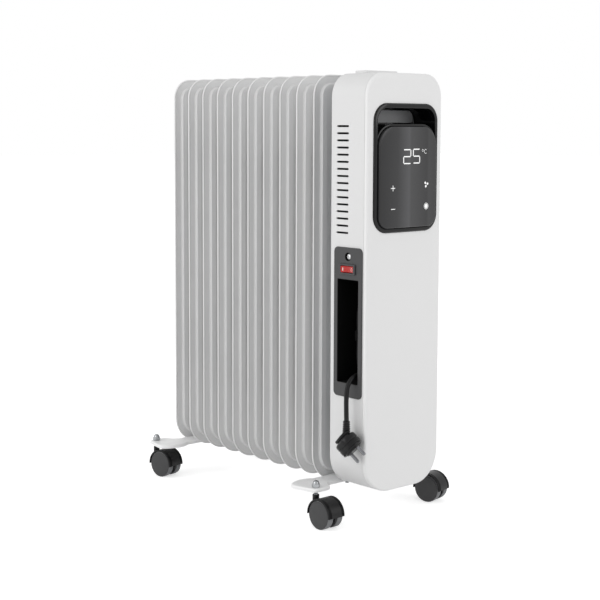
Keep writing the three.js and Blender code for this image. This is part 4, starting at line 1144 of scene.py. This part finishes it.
def u_bolt(middle):
    low = foot_top - 13 * mm
    thread = [(low + k * 0.5 * mm, bolt_radius - (0.35 * mm if k % 2 else 0)) for k in range(30)]
    leg = [(low, bolt_radius - 0.8 * mm), *thread, (low + 16 * mm, bolt_radius)]
    rings = [wire_ring(middle, 0, *stage) for stage in leg]
    rings += [wire_ring(middle, angle, header_low, bolt_radius) for angle in fan(0, 180, 24)]
    return loft(rings + [wire_ring(middle, pi, *stage) for stage in leg[::-1]])


def wing_nut(place):
    hub = turn("z", [(3.3, 0), (5.6, 0), (6, -0.5), (5.4, -4.5), (4.6, -6), (3.3, -6)], 24,
               loop=True)
    wing = [(2.5, -5.6), (5.6, -6.4), (10.5, -7), (12.6, -6.2), (13, -4.2), (12.2, -2.2),
            (10, -1.2), (7, -1.6), (4.4, -1.4), (2.5, -1)]
    wings = [slab("x", [Vector((side * a, b)) for a, b in wing[::side]], -1.2, 1.2, 0.5)
             for side in (-1, 1)]
    return [moved(shape, place @ Matrix.Scale(mm, 4)) for shape in [hub, *wings]]


for end in strut_middle:
    piece(f"bent_bolt_{end}", [u_bolt(strut_middle[end])], zinc_steel, "zinc_steel",
          f"u_bolt_{end}", sharp=60)
    for node in (f"wing_nut_{end}_left", f"wing_nut_{end}_right"):
        x, y, _ = middle_of(node)
        piece(node.replace("wing", "winged"),
              wing_nut(Matrix.Translation((x, y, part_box(node)[1].z))), zinc_steel, "zinc_steel",
              node)
print("clamps", len(strut_middle))

# %% [markdown]
# ## The casters
# A twin-wheel caster has one hood over two wheels, a web between them, and a collar that
# holds its stem. The hood is a C-shaped section pushed along the axle, with three fine
# grooves at each side. The wheels are turned. Both are drawn in millimetres about the
# stem, so that a caster can be set at any angle.
# %% Make the casters
wheel_radius, hood_radius, hood_inner, trail = 20.0, 22.7, 20.6, 20.3
web_radius, tread_from, wheel_sides = 21.4, 19.3, 24
axle_height = wheel_radius * cos(pi / wheel_sides)


def hood_section(radius):
    steps = 28
    start = -asin(1 / hood_radius)
    angles = [start + (pi - 2 * start) * k / steps for k in range(steps + 1)]
    return (arc(radius, angles, trail, axle_height)
            + arc(hood_inner, angles[::-1], trail, axle_height))


def caster_hood():
    side = [(15, -0.9), (14.6, -0.3), (14.2, 0)]
    side += [(groove - a, grow) for groove in (13.7, 12.1, 10.5)
             for a, grow in ((0, 0), (0.3, -0.8), (0.8, -0.8), (1.1, 0))]
    stages = [(-y, r) for y, r in side] + side[::-1]
    shade = loft([at("y", hood_section(hood_radius + grow), y) for y, grow in stages])
    web = slab("y", arc(web_radius, fan(-19, 199, 30), trail, axle_height), -2.3, 2.3, 0.5)
    collar = turn("z", [(0, 30.9), (4.2, 30.9), (4.8, 31.5), (4.8, 38.6), (4.5, 38.9),
                        (4.5, 39.4), (4.8, 39.7), (4.8, 42.8), (4.5, 43.4), (4.1, 43.6),
                        (3.3, 43.6), (3.3, 34.4), (0, 34.4)], 24)
    axle = turn("y", [(0, -12.9), (2.4, -12.9), (2.4, 12.9), (0, 12.9)], 16, trail, axle_height)
    return [shade, web, collar, axle]


def caster_wheel(side):
    profile = [(0, 15), (6, 14.94), (12, 14.75), (16, 14.5), (18.6, 14.25), (19.1, 14),
               (19.2, 13.6), (19.7, 13.45), (20, 13.1), (20, 5), (19.7, 4.2), (19, 3.8),
               (17.4, 3.6), (16.8, 4.6), (6, 4.6), (5.4, 3.6), (2.8, 3.6), (2.8, 13.2), (0, 13.2)]
    return turn("y", [(r, side * y) for r, y in profile], 48, trail, axle_height)


print("axle height", round(axle_height, 2), "mm")

# %% [markdown]
# ## The stem and its cap nut
# The threaded stem comes up through the pad, and a chromed cap nut closes it. The threads
# are rings of two radii in turn, as a helix wouldn't be told from them at this size. The
# nut is a hexagon whose corners are turned off, with a dome on it.
# %% Turn the stem and the nut
def caster_stem():
    base = foot_top / mm
    profile = [(0, 34.7), (3, 34.7), (3, 40), (2.9, 43.8), (3, 44)]
    height = 44.2
    while height < base - 5:
        profile += [(3, height), (2.72, height + 0.4)]
        height += 0.8
    profile += [(3, base - 4.5), (4.7, base - 4.4), (5, base - 4.1), (5, base - 2.6),
                (4.7, base - 2.3), (3, base - 2.3), (3, base + 6), (0, base + 6.5)]
    return turn("z", profile, 24)


def cap_nut():
    """A hexagon whose corners are turned off, with a dome on it."""
    base = foot_top / mm + 0.3
    hexagon = circle(5.8, 6)
    flat = [hexagon[k].lerp(hexagon[(k + 1) % 6], share) for k in range(6)
            for share in (0, 0.25, 0.5, 0.75)]
    trimmed = [p * min(1, 5.25 / p.length) for p in flat]
    rings = [at("z", trimmed, base), at("z", flat, base + 0.5), at("z", flat, base + 4.4),
             at("z", trimmed, base + 5)]
    angles = [atan2(p.y, p.x) for p in flat]
    dome = [(4.7, 5.0), (4.6, 5.6), (4.45, 6.6), (4.0, 7.8), (3.2, 8.8), (2.1, 9.5), (1.0, 9.8),
            (0.001, 9.85)]
    return loft(rings + [at("z", arc(radius, angles), base + height) for radius, height in dome])


print("stem goes up to", round(foot_top / mm + 6.5, 1), "mm")

# %% [markdown]
# ## The four casters
# Casters come to rest at any angle, so each has its own. The hood rides on the body that
# swivels and each wheel on the body that rolls, while stem and nut stay with the foot.
# The tread of a wheel is a second, paler finish, given to the faces that are furthest
# from the axle; its paleness is partly the tread's grey and partly a painted reflection of the
# floor.
# %% Set the casters
rests = {"front_left": 0, "rear_left": 10, "front_right": 12, "rear_right": 6}
for corner, swivel in rests.items():
    x, y, _ = middle_of(f"cap_nut_{corner}")
    upright = Matrix.Translation((x, y, 0)) @ Matrix.Scale(mm, 4)
    turned = upright @ Matrix.Rotation(radians(swivel), 4, "Z")
    piece(f"domed_nut_{corner}", [moved(cap_nut(), upright)], chrome, "nut_chrome",
          f"cap_nut_{corner}")
    piece(f"threaded_stem_{corner}", [moved(caster_stem(), upright)], zinc_steel, "zinc_steel",
          f"caster_stem_{corner}", sharp=60)
    piece(f"twin_hood_{corner}", [moved(shape, turned) for shape in caster_hood()], caster_black,
          "caster_black", f"caster_hood_{corner}", body=f"caster_{corner}")
    for half, side in (("outer", -1), ("inner", 1)):
        node = f"wheel_{half}_{corner}"
        tyre = piece(f"tyre_{half}_{corner}", [moved(caster_wheel(side), turned)], wheel_grey,
                     "wheel_grey", node, body=node)
        tyre.data.materials.append(tread_and_reflection_grey)
        for face in tyre.data.polygons:
            spot = turned.inverted() @ face.center
            if hypot(spot.x - trail, spot.z - axle_height) > tread_from:
                face.material_index = 1
print("casters", len(rests))

# %% [markdown]
# ## What is inside
# The heating element, the boards and the safety switches can't be seen from outside, but
# they are real pieces of the heater. New meshes would add nothing, so their solids keep
# their shapes and get finishes.
# %% Finish the inner pieces
inner_finishes = {"heating_element": zinc_steel, "oil_filler_plug": zinc_steel,
                  "control_board": circuit_board, "power_board": circuit_board,
                  "thermal_cutout": bay_black, "tilt_switch": bay_black}
for node, material in inner_finishes.items():
    dress(node, material)
print("inner pieces", len(inner_finishes))

# %% [markdown]
# ## Floor, backdrop and light
# The floor is a plain pale sheet. What the camera sees of it and of the world is white,
# and the shadow under the heater stays, faint. A backdrop could be composited later, but
# Light Path nodes give it in one render. The light is soft and comes from all round, with
# two large lamps that shape the faces.
# %% Set the floor and the lights
reach = 20
floor_mesh = bpy.data.meshes.new("floor")
floor_mesh.from_pydata([(-reach, -reach, 0), (reach, -reach, 0), (reach, reach, 0),
                        (-reach, reach, 0)], [], [(0, 1, 2, 3)])
floor = add_object("floor", floor_mesh)


def seen_directly(tree):
    """1 for what the camera sees itself, in gloss or through glass."""
    path = new_node(tree, "LightPath").outputs
    both = maths(tree, "MAXIMUM", path["Is Camera Ray"], path["Is Glossy Ray"])
    return maths(tree, "MAXIMUM", both, path["Is Transmission Ray"])


floor_glow, world_strength = 0.6, 0.62
floor_white, tree, shader = new_material("floor white")
feed(tree, shader, Base_Color=(0.8, 0.8, 0.8, 1), Roughness=0.9, Specular_IOR_Level=0.0)
glow = new_node(tree, "Emission",
                Strength=maths(tree, "MULTIPLY", seen_directly(tree), floor_glow))
both = new_node(tree, "AddShader")
tree.links.new(shader.outputs[0], both.inputs[0])
tree.links.new(glow.outputs[0], both.inputs[1])
feed(tree, tree.nodes["Material Output"], Surface=both.outputs[0])
floor_mesh.materials.append(floor_white)

world = bpy.data.worlds.new("studio")
world.use_nodes = True
bpy.context.scene.world = world
tree = world.node_tree
feed(tree, tree.nodes["Background"], Color=(1, 1, 1, 1),
     Strength=maths(tree, "MAXIMUM", seen_directly(tree), world_strength))


lamp_aim = Vector((0, 0, 0.35))


def lamp(name, place, size, power):
    data = bpy.data.lights.new(name, "AREA")
    data.shape = "RECTANGLE"
    data.size, data.size_y = size
    data.energy = power
    thing = add_object(name, data)
    thing.location = place
    thing.rotation_mode = "QUATERNION"
    thing.rotation_quaternion = (lamp_aim - Vector(place)).to_track_quat("-Z", "Y")


lamp("side lamp", (-0.5, -2.5, 1.25), (2.4, 1.8), 27)
lamp("front lamp", (2.6, 1.1, 1.4), (1.6, 1.8), 18)
bpy.context.scene.view_settings.view_transform = "Standard"
print("lamps", len(bpy.data.lights))
